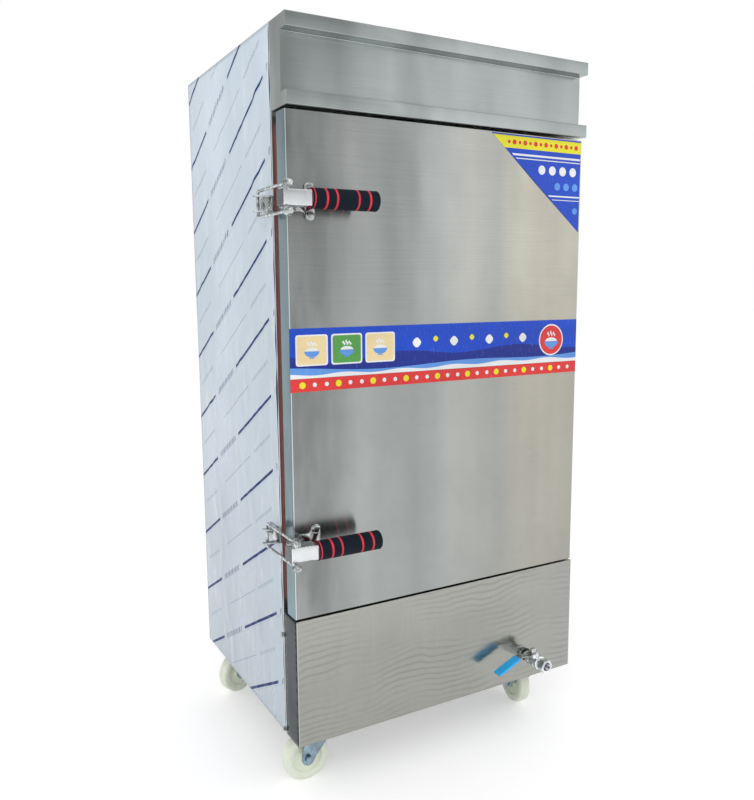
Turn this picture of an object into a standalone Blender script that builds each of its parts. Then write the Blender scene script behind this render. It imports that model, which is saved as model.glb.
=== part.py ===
"""Rice steamer cabinet: a stainless steel steaming cupboard on four swivel casters.

Lengths are metres and angles are degrees. The cabinet is drawn with x = 0 on its middle
plane, y = 0 at the front edge of the side panels, +y to the back and z = 0 on the floor.
An empty carries everything, and moves it so that the origin is the centre of the footprint.
"""

import math

import bmesh
import bpy
import numpy as np
from mathutils import Matrix, Vector

# Driving dimensions of the cabinet
BODY_WIDTH = 0.700
BODY_DEPTH = 0.5115
BODY_HEIGHT = 1.368
BODY_BOTTOM = 0.120
SHEET = 0.0012
GAP = 0.0003
OVERRUN = 0.002

# Front: heights from the bottom up, and how far each piece stands ahead of the side panels
LOWER_PANEL_HEIGHT = 0.260
DOOR_LOWER_GAP = 0.003
DOOR_UPPER_GAP = 0.0045
FASCIA_HEIGHT = 0.1545
LOWER_PANEL_PROJECTION = 0.0607
DOOR_PROJECTION = 0.0575
FASCIA_PROJECTION = 0.0711

# Fascia section
FASCIA_RIM_HEIGHT = 0.0255
FASCIA_BAND_HEIGHT = 0.0255
FASCIA_RECESS = 0.0255

# Side, back and base
REAR_FLANGE = 0.015
LOWER_PANEL_RETURN_GAP = 0.0015
LOWER_PANEL_LIP = 0.020
BASE_RAIL_WIDTH = 0.040
BASE_RAIL_HEIGHT = 0.036
BASE_LIFT = 0.004
PAD_SIZE = 0.096
PAD_THICKNESS = 0.004

# Cooking chamber
CHAMBER_SIDE_WALL = 0.045
CHAMBER_REAR_WALL = 0.048
CHAMBER_BORDER = 0.045
INSULATION_FLOOR = 0.040
FLOOR_LEDGE_SIDE = 0.085
FLOOR_LEDGE_DEPTH = 0.035
STEAM_PLATE_MARGIN = 0.020
STEAM_PLATE_SLOT = 0.040
STEAM_HOLE_RADIUS = 0.011
STEAM_HOLE_ROWS = 4
STEAM_HOLE_COLUMNS = 6
STEAM_HOLE_SPACING = 0.062

# Water tank under the chamber
TANK_SIDE_SPACE = 0.095
TANK_REAR_SPACE = 0.0888
TANK_FRONT = 0.050
TANK_BOTTOM = 0.162
ELEMENT_RADIUS = 0.006
ELEMENT_HEIGHT = 0.046
ELEMENT_LEG_SPACING = 0.090
ELEMENT_FRONT_SPACE = 0.1085
ELEMENT_LEGS = 4
TERMINAL_INSET = 0.030
TERMINAL_INLET_SPACE = 0.022
TERMINAL_HEIGHT = 0.080
TERMINAL_DEPTH = 0.050
INLET_RADIUS = 0.0105
INLET_BORE = 0.0075
INLET_RISE = 0.018
INLET_INSET = 0.085
INLET_STUB = 0.015

# Steam vent on top, behind the fascia
VENT_RADIUS = 0.0135
VENT_BORE = 0.011
VENT_HEIGHT = 0.045
VENT_FLANGE_RADIUS = 0.030
VENT_FLANGE_THICKNESS = 0.003
VENT_FROM_BACK = 0.110

# Tray racks and trays
RACK_LEVELS = 10
RACK_TOP_SPACE = 0.034
RACK_FIRST_LEVEL = 0.022
RACK_SHEET = 0.0015
RAIL_WIDTH = 0.014
RAIL_REAR_SPACE = 0.0238
RAIL_FRONT = 0.020
UPRIGHT_WIDTH = 0.020
UPRIGHT_INSET = 0.040
TRAY_LEVELS = (0, 3, 6, 9)
TRAY_SIDE_CLEARANCE = 0.001
TRAY_REAR_SPACE = 0.0338
TRAY_HEIGHT = 0.048
TRAY_SHEET = 0.001
TRAY_FRONT = 0.030

# Door
DOOR_SIDE_CLEARANCE = 0.0005
DOOR_THICKNESS = 0.0385
DOOR_LINER_SHEET = 0.0012
GASKET_WIDTH = 0.016
GASKET_INSET = 0.008

# Hinges on the right side
HINGE_HEIGHT = 0.090
HINGE_FROM_END = 0.160
HINGE_LEAF = 0.0025
HINGE_BODY_LEAF_WIDTH = 0.038
HINGE_DOOR_LEAF_WIDTH = 0.036
HINGE_KNUCKLE_RADIUS = 0.006
HINGE_PIN_RADIUS = 0.003
HINGE_PIN_CLEARANCE = 0.0003
HINGE_AXIS_OUT = 0.0075
HINGE_AXIS_AHEAD = 0.009
HINGE_CLEARANCE = 0.0005

# Toggle latches on the left edge
LATCH_FROM_TOP = 0.159
LATCH_FROM_BOTTOM = 0.1515
LATCH_PIVOT_OUT = 0.0215
LATCH_PIVOT_AHEAD = 0.0380
TRUNNION_REACH = 0.0140
TRUNNION_OVER_CENTRE = 0.0010
TRUNNION_RADIUS = 0.0050
TRUNNION_HALF_LENGTH = 0.0290
LEVER_OUT = 0.0305
LEVER_AHEAD = 0.0615
LEVER_BACK = 0.0055
LEVER_LENGTH = 0.0520
LEVER_HALF_HEIGHT = 0.0135
LEVER_SHEET = 0.0020
PIN_RADIUS = 0.0030
PIN_HALF_LENGTH = 0.0190
BRACKET_SHEET = 0.0030
BRACKET_ARM_HEIGHT = 0.0035
BRACKET_ARM_WIDTH = 0.0130
BRACKET_LUG_RADIUS = 0.0070
BRACKET_PLATE_LEFT = 0.0050
BRACKET_HALF_HEIGHT = 0.0335
BRACKET_BODY_HALF_HEIGHT = 0.0180
BRACKET_EAR_HALF_WIDTH = 0.0095
BRACKET_BOLT_PLACE = 0.0400
BRACKET_BOLT_HALF_SPACING = 0.0240
BOLT_HEAD_RADIUS = 0.0055
BOLT_HEAD_HEIGHT = 0.0045
WASHER_RADIUS = 0.0085
WASHER_THICKNESS = 0.0015
GRIP_RADIUS = 0.0185
GRIP_LENGTH = 0.1330
GRIP_AHEAD = 0.0540
GRIP_CORE_RADIUS = 0.0060
GRIP_CORE_OVERLAP = 0.0100
GRIP_ROUNDING = 0.0030
BAIL_RADIUS = 0.0030
BAIL_HALF_HEIGHT = 0.0235
BAIL_NUT_RADIUS = 0.0085
BAIL_NUT_LENGTH = 0.0175
BAIL_CORNER = 0.0060
STRIKE_SHEET = 0.0025
STRIKE_HALF_HEIGHT = 0.0150
STRIKE_FRONT = 0.0020
STRIKE_HOOK_BACK = 0.0230
STRIKE_LENGTH = 0.0600
STRIKE_PRONG = 0.0300
STRIKE_PRONG_TIP = 0.0090
STRIKE_BOLT_PLACES = (0.0120, 0.0500)

# Casters
WHEEL_RADIUS = 0.049
WHEEL_HALF_WIDTH = 0.014
WHEEL_HUB_HALF_WIDTH = 0.016
WHEEL_HUB_RADIUS = 0.015
WHEEL_RECESS = 0.005
WHEEL_RECESS_RADIUS = 0.031
WHEEL_ROUNDING = 0.003
AXLE_RADIUS = 0.004
AXLE_CLEARANCE = 0.0003
AXLE_NUT_RADIUS = 0.0090
AXLE_NUT_LENGTH = 0.006
CASTER_TRAIL = 0.028
CASTER_INSET = 0.075
CASTER_FRONT = 0.020
CASTER_REAR_SPACE = 0.0615
CASTER_PLATE = 0.076
CASTER_PLATE_THICKNESS = 0.0035
SWIVEL_RADIUS = 0.027
SWIVEL_HEIGHT = 0.012
FORK_SHEET = 0.003
FORK_CLEARANCE = 0.0008
FORK_TOP_WIDTH = 0.052
FORK_FOOT_RADIUS = 0.0140
CASTER_YAWS = {"front_left": 180.0, "front_right": 82.0, "rear_left": 197.0, "rear_right": 40.0}

# Drain valve
VALVE_INSET = 0.036
VALVE_HEIGHT = 0.057
PIPE_RADIUS = 0.01065
PIPE_BORE = 0.0078
PIPE_STUB = 0.013
PIPE_INSIDE = 0.010
PANEL_HOLE_RADIUS = 0.0125
GROMMET_LIP = 0.0015
GROMMET_THICKNESS = 0.0030
INLET_HEX_RADIUS = 0.0160
INLET_HEX_LENGTH = 0.012
BARREL_RADIUS = 0.0150
BARREL_LENGTH = 0.026
NECK_RADIUS = 0.0120
NECK_LENGTH = 0.006
OUTLET_HEX_RADIUS = 0.0165
OUTLET_HEX_LENGTH = 0.016
STEM_FROM_PIPE = 0.0253
STEM_TILT = 22.4
BOSS_RADIUS = 0.0085
BOSS_HEIGHT = 0.024
STEM_RADIUS = 0.0045
STEM_TOP = 0.034
STEM_NUT_RADIUS = 0.0080
STEM_NUT_HEIGHT = 0.005
HANDLE_THICKNESS = 0.0024
HANDLE_WIDTH = 0.017
HANDLE_CRANK_START = 0.016
HANDLE_CRANK_END = 0.034
HANDLE_CRANK_RISE = 0.013
SLEEVE_START = 0.043
SLEEVE_LENGTH = 0.062
SLEEVE_WIDTH = 0.0215
SLEEVE_THICKNESS = 0.0062
SLEEVE_CLEARANCE = 0.0003

# Facets of round pieces
ROUND_LARGE = 40
ROUND_MEDIUM = 24
ROUND_SMALL = 16

# Worked out from the values above
HALF_WIDTH = BODY_WIDTH / 2
BODY_TOP = BODY_BOTTOM + BODY_HEIGHT
LOWER_PANEL_TOP = BODY_BOTTOM + LOWER_PANEL_HEIGHT
FASCIA_BOTTOM = BODY_TOP - FASCIA_HEIGHT
DOOR_BOTTOM = LOWER_PANEL_TOP + DOOR_LOWER_GAP
DOOR_TOP = FASCIA_BOTTOM - DOOR_UPPER_GAP
DOOR_BACK = -DOOR_PROJECTION + DOOR_THICKNESS
DOOR_HALF_WIDTH = HALF_WIDTH - DOOR_SIDE_CLEARANCE
CHAMBER_BOTTOM = DOOR_BOTTOM + CHAMBER_BORDER
CHAMBER_TOP = DOOR_TOP - CHAMBER_BORDER
CHAMBER_HALF = HALF_WIDTH - CHAMBER_SIDE_WALL
CHAMBER_FRONT = SHEET + GAP
CHAMBER_BACK = BODY_DEPTH - CHAMBER_REAR_WALL
INNER_HALF = HALF_WIDTH - SHEET - GAP
BACK_PANEL_REAR = BODY_DEPTH - SHEET - GAP
BACK_PANEL_FRONT = BACK_PANEL_REAR - SHEET
TANK_HALF = HALF_WIDTH - TANK_SIDE_SPACE
TANK_BACK = BACK_PANEL_FRONT - TANK_REAR_SPACE
FLOOR_HALF = CHAMBER_HALF - FLOOR_LEDGE_SIDE
FLOOR_FRONT = TANK_FRONT + FLOOR_LEDGE_DEPTH
FLOOR_BACK = TANK_BACK - FLOOR_LEDGE_DEPTH
INLET_PLACE = TANK_HALF - INLET_INSET
INLET_HEIGHT = TANK_BOTTOM + INLET_RISE
VALVE_PLACE = TANK_HALF - VALVE_INSET
CASTER_SIDE = HALF_WIDTH - CASTER_INSET
CASTER_REAR = BODY_DEPTH - CASTER_REAR_SPACE
RACK_BOTTOM = CHAMBER_BOTTOM + RACK_FIRST_LEVEL
RACK_TOP = CHAMBER_TOP - RACK_TOP_SPACE
RACK_SPACING = (RACK_TOP - RACK_BOTTOM) / RACK_LEVELS
RAIL_BACK = CHAMBER_BACK - RAIL_REAR_SPACE
TRAY_BACK = CHAMBER_BACK - TRAY_REAR_SPACE
TOP_PANEL_UNDERSIDE = BODY_TOP - SHEET
LEFT_FACE = -HALF_WIDTH
HINGE_X = HALF_WIDTH + HINGE_AXIS_OUT
HINGE_Y = -HINGE_AXIS_AHEAD
UPPER_LATCH = DOOR_TOP - LATCH_FROM_TOP
LOWER_LATCH = DOOR_BOTTOM + LATCH_FROM_BOTTOM
PIVOT_X = LEFT_FACE - LATCH_PIVOT_OUT
PIVOT_Y = -DOOR_PROJECTION - LATCH_PIVOT_AHEAD
TRUNNION_X = PIVOT_X + TRUNNION_OVER_CENTRE
TRUNNION_Y = PIVOT_Y - TRUNNION_REACH
CASTER_HEIGHT = BODY_BOTTOM + BASE_LIFT - GAP
VALVE_Z = BODY_BOTTOM + VALVE_HEIGHT
PIPE_END = -LOWER_PANEL_PROJECTION - PIPE_STUB
VALVE_START = PIPE_END - GAP
VALVE_END = VALVE_START - INLET_HEX_LENGTH - BARREL_LENGTH - NECK_LENGTH - OUTLET_HEX_LENGTH
STEM_Y = PIPE_END - STEM_FROM_PIPE
FRONT_REACH = VALVE_END
REAR_REACH = BODY_DEPTH + INLET_STUB
LEFT_REACH = LEFT_FACE - GAP - STRIKE_SHEET - STRIKE_PRONG
RIGHT_REACH = HINGE_X + HINGE_KNUCKLE_RADIUS
OFFSET = Vector((-(LEFT_REACH + RIGHT_REACH) / 2, -(FRONT_REACH + REAR_REACH) / 2, 0))


def clear_scene():
    """Take out whatever the file holds."""
    for item in list(bpy.data.objects):
        bpy.data.objects.remove(item, do_unlink=True)


def new_collection(name):
    """Add an empty collection to the scene."""
    collection = bpy.data.collections.new(name)
    bpy.context.scene.collection.children.link(collection)
    return collection


def finish(name, colour, metallic, roughness):
    """A Principled material with one colour, metallic and roughness value."""
    material = bpy.data.materials.new(name)
    material.use_nodes = True
    shader = material.node_tree.nodes["Principled BSDF"]
    shader.inputs["Base Color"].default_value = (*colour, 1)
    shader.inputs["Metallic"].default_value = metallic
    shader.inputs["Roughness"].default_value = roughness
    material.diffuse_color = (*colour, 1)
    return material


clear_scene()
CABINET = new_collection("rice_steamer_cabinet")
FRAME = bpy.data.objects.new("cabinet_frame", None)
FRAME.location = OFFSET
CABINET.objects.link(FRAME)

STEEL = finish("brushed_stainless", (0.62, 0.63, 0.62), 1.0, 0.32)
BRIGHT_STEEL = finish("bright_stainless", (0.74, 0.75, 0.76), 1.0, 0.18)
FILM = finish("protective_film", (0.72, 0.78, 0.85), 0.0, 0.35)
INNER_STEEL = finish("chamber_stainless", (0.70, 0.71, 0.71), 1.0, 0.25)
FOAM = finish("insulation_foam", (0.82, 0.74, 0.48), 0.0, 0.9)
SILICONE = finish("red_silicone", (0.50, 0.10, 0.07), 0.0, 0.5)
GRIP_FOAM = finish("grip_foam", (0.03, 0.03, 0.04), 0.0, 0.75)
ZINC = finish("blue_zinc", (0.45, 0.54, 0.62), 1.0, 0.3)
NYLON = finish("white_nylon", (0.80, 0.84, 0.72), 0.0, 0.4)
CHROME = finish("chromed_brass", (0.80, 0.81, 0.83), 1.0, 0.12)
VINYL = finish("blue_vinyl", (0.07, 0.45, 0.92), 0.0, 0.4)
RUBBER = finish("black_rubber", (0.02, 0.02, 0.02), 0.0, 0.7)
ELEMENT_SHEATH = finish("element_sheath", (0.35, 0.36, 0.34), 1.0, 0.45)
TERMINAL_PLASTIC = finish("terminal_plastic", (0.12, 0.12, 0.13), 0.0, 0.6)
BASE_STEEL = finish("base_steel", (0.50, 0.51, 0.51), 1.0, 0.4)


def add_object(name, mesh, material=None, parent=None):
    """Put a mesh into the cabinet's collection under its parent."""
    piece = bpy.data.objects.new(name, mesh)
    if material:
        mesh.materials.clear()
        mesh.materials.append(material)
    CABINET.objects.link(piece)
    piece.parent = parent or FRAME
    return piece


def mesh_from(name, bm):
    """Turn a bmesh into mesh data with outward faces."""
    bmesh.ops.recalc_face_normals(bm, faces=bm.faces)
    mesh = bpy.data.meshes.new(name)
    bm.to_mesh(mesh)
    bm.free()
    return mesh


def box(name, low, high, material=None, parent=None):
    """An axis-parallel box between two corners."""
    low, high = Vector(low), Vector(high)
    size = high - low
    bm = bmesh.new()
    place = Matrix.Translation((low + high) / 2) @ Matrix.Diagonal((*size, 1))
    bmesh.ops.create_cube(bm, size=1, matrix=place)
    return add_object(name, mesh_from(name, bm), material, parent)


def along(axis):
    """Rotation that turns +z onto the given direction."""
    return Vector((0, 0, 1)).rotation_difference(Vector(axis)).to_matrix().to_4x4()


def rod(name, start, end, radius, sides=ROUND_SMALL, material=None, parent=None, turn=0.0):
    """A cylinder or prism from one point to another."""
    start, end = Vector(start), Vector(end)
    span = end - start
    spin = Matrix.Rotation(math.radians(turn), 4, "Z")
    place = Matrix.Translation((start + end) / 2) @ along(span.normalized()) @ spin
    bm = bmesh.new()
    bmesh.ops.create_cone(bm, cap_ends=True, segments=sides, radius1=radius, radius2=radius,
                          depth=span.length, matrix=place)
    return add_object(name, mesh_from(name, bm), material, parent)


def settle(piece):
    """Replace an object's mesh with its evaluated mesh and drop its modifiers."""
    view = bpy.context.evaluated_depsgraph_get()
    view.update()
    mesh = bpy.data.meshes.new_from_object(piece.evaluated_get(view))
    materials = list(piece.data.materials)
    piece.modifiers.clear()
    piece.data = mesh
    mesh.materials.clear()
    for material in materials:
        mesh.materials.append(material)
    return piece


def combine(piece, tools, operation):
    """Join or cut a piece with other solids, which are used up."""
    for tool in tools:
        step = piece.modifiers.new(operation.lower(), "BOOLEAN")
        step.operation = operation
        step.solver = "EXACT"
        step.object = tool
    settle(piece)
    for tool in tools:
        bpy.data.objects.remove(tool, do_unlink=True)
    return piece


def join(piece, *tools):
    """Union of a piece with other solids."""
    return combine(piece, tools, "UNION")


def cut(piece, *tools):
    """A piece less other solids."""
    return combine(piece, tools, "DIFFERENCE")


def smooth(piece, angle=35.0):
    """Shade the round faces smooth and keep the edges that turn sharply."""
    piece.data.shade_smooth()
    piece.data.set_sharp_from_angle(angle=math.radians(angle))
    return piece


def plate(name, outline, thickness, place, material=None, parent=None):
    """A flat outline given thickness from z = 0 upwards, then put in its place."""
    curve = bpy.data.curves.new(name, "CURVE")
    curve.dimensions = "2D"
    curve.fill_mode = "BOTH"
    curve.extrude = thickness / 2
    spline = curve.splines.new("POLY")
    spline.points.add(len(outline) - 1)
    for point, (x, y) in zip(spline.points, outline):
        point.co = (x, y, 0, 1)
    spline.use_cyclic_u = True
    guide = bpy.data.objects.new(name + "_outline", curve)
    CABINET.objects.link(guide)
    view = bpy.context.evaluated_depsgraph_get()
    view.update()
    mesh = bpy.data.meshes.new_from_object(guide.evaluated_get(view))
    bpy.data.objects.remove(guide, do_unlink=True)
    bm = bmesh.new()
    bm.from_mesh(mesh)
    bmesh.ops.remove_doubles(bm, verts=bm.verts, dist=GAP / 10)
    bmesh.ops.translate(bm, verts=bm.verts, vec=(0, 0, thickness / 2))
    bmesh.ops.transform(bm, matrix=place, verts=bm.verts)
    return add_object(name, mesh_from(name, bm), material, parent)


def frame_of(x_axis, y_axis, origin):
    """Placement whose outline axes run along the given directions from an origin."""
    x_axis, y_axis = Vector(x_axis), Vector(y_axis)
    turn = Matrix((x_axis, y_axis, x_axis.cross(y_axis))).transposed().to_4x4()
    return Matrix.Translation(Vector(origin)) @ turn


def arc(centre, radius, start, end, steps):
    """Points of an arc in a plane, with angles in degrees."""
    angles = np.radians(np.linspace(start, end, steps + 1))
    return [(centre[0] + radius * math.cos(a), centre[1] + radius * math.sin(a)) for a in angles]


def turned(name, profile, place, sides=ROUND_MEDIUM, material=None, parent=None):
    """A profile of (radius, height) points, top to bottom, turned about z and put in its place."""
    mesh = bpy.data.meshes.new(name)
    verts = [(radius, 0, height) for radius, height in profile]
    loop = [(i, i + 1) for i in range(len(verts) - 1)]
    if profile[0] != profile[-1] and min(profile[0][0], profile[-1][0]) > 0:
        loop.append((len(verts) - 1, 0))
    mesh.from_pydata(verts, loop, [])
    piece = add_object(name, mesh, material, parent)
    screw = piece.modifiers.new("turn", "SCREW")
    screw.steps = sides
    screw.render_steps = sides
    screw.use_merge_vertices = True
    screw.merge_threshold = GAP / 10
    screw.use_normal_calculate = True
    settle(piece)
    bm = bmesh.new()
    bm.from_mesh(piece.data)
    bmesh.ops.remove_doubles(bm, verts=bm.verts, dist=GAP / 10)
    bmesh.ops.recalc_face_normals(bm, faces=bm.faces)
    bmesh.ops.transform(bm, matrix=place, verts=bm.verts)
    bm.to_mesh(piece.data)
    bm.free()
    return piece


def wire(name, points, radius, material=None, parent=None, resolution=2):
    """A round wire with capped ends along a list of points."""
    curve = bpy.data.curves.new(name, "CURVE")
    curve.dimensions = "3D"
    curve.bevel_depth = radius
    curve.bevel_resolution = resolution
    curve.use_fill_caps = True
    spline = curve.splines.new("POLY")
    spline.points.add(len(points) - 1)
    for point, place in zip(spline.points, points):
        point.co = (*place, 1)
    guide = bpy.data.objects.new(name + "_path", curve)
    CABINET.objects.link(guide)
    view = bpy.context.evaluated_depsgraph_get()
    view.update()
    mesh = bpy.data.meshes.new_from_object(guide.evaluated_get(view))
    bpy.data.objects.remove(guide, do_unlink=True)
    bm = bmesh.new()
    bm.from_mesh(mesh)
    bmesh.ops.remove_doubles(bm, verts=bm.verts, dist=GAP / 10)
    return add_object(name, mesh_from(name, bm), material, parent)


def pivot(name, location, parent=None, turn=0.0):
    """An empty on a joint's axis, which carries the moving pieces."""
    empty = bpy.data.objects.new(name, None)
    CABINET.objects.link(empty)
    empty.parent = parent or FRAME
    empty.location = location
    empty.rotation_euler = (0, 0, math.radians(turn))
    return empty


def shell(name, low, high, sheet, open_low, open_high, material=None, parent=None):
    """A box of sheet metal, open on the sides where the open values are 1."""
    low, high = Vector(low), Vector(high)
    inner_low = Vector(low[i] - OVERRUN if open_low[i] else low[i] + sheet for i in range(3))
    inner_high = Vector(high[i] + OVERRUN if open_high[i] else high[i] - sheet for i in range(3))
    outer = box(name, low, high, material, parent)
    return cut(outer, box(name + "_inside", inner_low, inner_high, parent=parent))


def build_shell():
    """Outer sheets, front frame, chamber liner and insulation."""
    for side, name, material in ((-1, "left_side_panel", FILM), (1, "right_side_panel", STEEL)):
        face, inner, lip = side * HALF_WIDTH, side * (HALF_WIDTH - SHEET), side * (HALF_WIDTH - REAR_FLANGE)
        outline = [(face, 0), (face, BODY_DEPTH), (lip, BODY_DEPTH), (lip, BODY_DEPTH - SHEET),
                   (inner, BODY_DEPTH - SHEET), (inner, 0)]
        plate(name, outline, BODY_HEIGHT, Matrix.Translation((0, 0, BODY_BOTTOM)), material)

    box("back_panel", (-INNER_HALF, BACK_PANEL_FRONT, BODY_BOTTOM),
        (INNER_HALF, BACK_PANEL_REAR, TOP_PANEL_UNDERSIDE - GAP), STEEL)
    inlet_hole = rod("inlet_hole", (-INLET_PLACE, BACK_PANEL_FRONT - OVERRUN, INLET_HEIGHT),
                     (-INLET_PLACE, BACK_PANEL_REAR + OVERRUN, INLET_HEIGHT), INLET_RADIUS + GAP)
    cut(bpy.data.objects["back_panel"], inlet_hole)

    top = box("top_panel", (-INNER_HALF, 0, TOP_PANEL_UNDERSIDE), (INNER_HALF, BACK_PANEL_REAR, BODY_TOP),
              STEEL)
    vent_y = BODY_DEPTH - VENT_FROM_BACK
    cut(top, rod("vent_hole", (0, vent_y, TOP_PANEL_UNDERSIDE - OVERRUN), (0, vent_y, BODY_TOP + OVERRUN),
                 VENT_RADIUS + GAP, ROUND_MEDIUM))

    frame = box("front_frame", (-INNER_HALF, 0, LOWER_PANEL_TOP),
                (INNER_HALF, SHEET, TOP_PANEL_UNDERSIDE - GAP), STEEL)
    cut(frame, box("mouth", (-CHAMBER_HALF, -OVERRUN, CHAMBER_BOTTOM),
                   (CHAMBER_HALF, SHEET + OVERRUN, CHAMBER_TOP)))

    liner = box("chamber_liner", (-CHAMBER_HALF - SHEET, CHAMBER_FRONT, CHAMBER_BOTTOM - SHEET),
                (CHAMBER_HALF + SHEET, CHAMBER_BACK + SHEET, CHAMBER_TOP + SHEET), INNER_STEEL)
    cut(liner,
        box("chamber", (-CHAMBER_HALF, CHAMBER_FRONT - OVERRUN, CHAMBER_BOTTOM),
            (CHAMBER_HALF, CHAMBER_BACK, CHAMBER_TOP)),
        box("floor_opening", (-FLOOR_HALF, FLOOR_FRONT, CHAMBER_BOTTOM - SHEET - OVERRUN),
            (FLOOR_HALF, FLOOR_BACK, CHAMBER_BOTTOM + OVERRUN)),
        rod("vent_way", (0, vent_y, CHAMBER_TOP - OVERRUN), (0, vent_y, CHAMBER_TOP + SHEET + OVERRUN),
            VENT_RADIUS + GAP, ROUND_MEDIUM))

    floor = CHAMBER_BOTTOM - INSULATION_FLOOR
    foam = box("insulation", (-INNER_HALF, CHAMBER_FRONT, floor),
               (INNER_HALF, BACK_PANEL_FRONT - GAP, TOP_PANEL_UNDERSIDE - GAP), FOAM)
    cut(foam,
        box("liner_space",
            (-CHAMBER_HALF - SHEET - GAP, CHAMBER_FRONT - OVERRUN, CHAMBER_BOTTOM - SHEET - GAP),
            (CHAMBER_HALF + SHEET + GAP, CHAMBER_BACK + SHEET + GAP, CHAMBER_TOP + SHEET + GAP)),
        box("tank_space", (-TANK_HALF - GAP, TANK_FRONT - GAP, floor - OVERRUN),
            (TANK_HALF + GAP, TANK_BACK + GAP, CHAMBER_BOTTOM)),
        rod("vent_space", (0, vent_y, CHAMBER_TOP), (0, vent_y, BODY_TOP), VENT_RADIUS + GAP, ROUND_MEDIUM))


def build_vent():
    """Open steam pipe through the roof with its flange."""
    y = BODY_DEPTH - VENT_FROM_BACK
    low, high, seat = CHAMBER_TOP + GAP, BODY_TOP + VENT_HEIGHT, BODY_TOP + GAP
    flange = seat + VENT_FLANGE_THICKNESS
    profile = [(VENT_BORE, high), (VENT_RADIUS, high), (VENT_RADIUS, flange), (VENT_FLANGE_RADIUS, flange),
               (VENT_FLANGE_RADIUS, seat), (VENT_RADIUS, seat), (VENT_RADIUS, low), (VENT_BORE, low)]
    smooth(turned("steam_vent", profile, Matrix.Translation((0, y, 0)), ROUND_MEDIUM, BRIGHT_STEEL))


def build_fascia():
    """Top front box of bent sheet: a rim, a recessed panel, a lower band and two notched ends."""
    front, recess = -FASCIA_PROJECTION, -FASCIA_PROJECTION + FASCIA_RECESS
    top, bottom = BODY_TOP, FASCIA_BOTTOM
    under_rim, over_band = top - FASCIA_RIM_HEIGHT, bottom + FASCIA_BAND_HEIGHT
    back = -GAP
    side_view = [(back, bottom), (front, bottom), (front, over_band), (recess, over_band),
                 (recess, under_rim), (front, under_rim), (front, top), (back, top)]
    inner_view = [(back + OVERRUN, bottom + SHEET), (front + SHEET, bottom + SHEET),
                  (front + SHEET, over_band - SHEET), (recess + SHEET, over_band - SHEET),
                  (recess + SHEET, under_rim + SHEET), (front + SHEET, under_rim + SHEET),
                  (front + SHEET, top - SHEET), (back + OVERRUN, top - SHEET)]
    place = frame_of((0, 1, 0), (0, 0, 1), (-HALF_WIDTH, 0, 0))
    inside = frame_of((0, 1, 0), (0, 0, 1), (-HALF_WIDTH + SHEET, 0, 0))
    fascia = plate("fascia", side_view, BODY_WIDTH, place, STEEL)
    cut(fascia, plate("fascia_inside", inner_view, BODY_WIDTH - 2 * SHEET, inside))


def build_lower_panel():
    """Service cover ahead of the water tank, with the hole for the drain pipe."""
    front, back = -LOWER_PANEL_PROJECTION, -LOWER_PANEL_RETURN_GAP
    panel = shell("lower_front_panel", (-HALF_WIDTH, front, BODY_BOTTOM),
                  (HALF_WIDTH, back, LOWER_PANEL_TOP), SHEET, (0, 0, 0), (0, 1, 0), STEEL)
    lip_back = front + LOWER_PANEL_LIP
    cut(panel,
        box("behind_lips", (-HALF_WIDTH + SHEET, lip_back, BODY_BOTTOM - OVERRUN),
            (HALF_WIDTH - SHEET, back + OVERRUN, LOWER_PANEL_TOP + OVERRUN)),
        rod("pipe_hole", (VALVE_PLACE, front - OVERRUN, VALVE_Z),
            (VALVE_PLACE, front + SHEET + OVERRUN, VALVE_Z), PANEL_HOLE_RADIUS, ROUND_MEDIUM))


def build_base():
    """Rectangle of rails with a pad for each caster."""
    low = BODY_BOTTOM + BASE_LIFT
    high = low + BASE_RAIL_HEIGHT
    front, back = -LOWER_PANEL_PROJECTION + LOWER_PANEL_LIP + GAP, BACK_PANEL_FRONT - GAP
    base = box("base_frame", (-INNER_HALF, front, low), (INNER_HALF, back, high), BASE_STEEL)
    cut(base, box("base_opening", (-INNER_HALF + BASE_RAIL_WIDTH, front + BASE_RAIL_WIDTH, low - OVERRUN),
                  (INNER_HALF - BASE_RAIL_WIDTH, back - BASE_RAIL_WIDTH, high + OVERRUN)))
    half = PAD_SIZE / 2
    pads = []
    for side in (-1, 1):
        for y in (CASTER_FRONT, CASTER_REAR):
            x = side * CASTER_SIDE
            pads.append(box("pad", (x - half, max(y - half, front + OVERRUN), low),
                            (x + half, min(y + half, back - OVERRUN), low + PAD_THICKNESS)))
    join(base, *pads)


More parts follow.
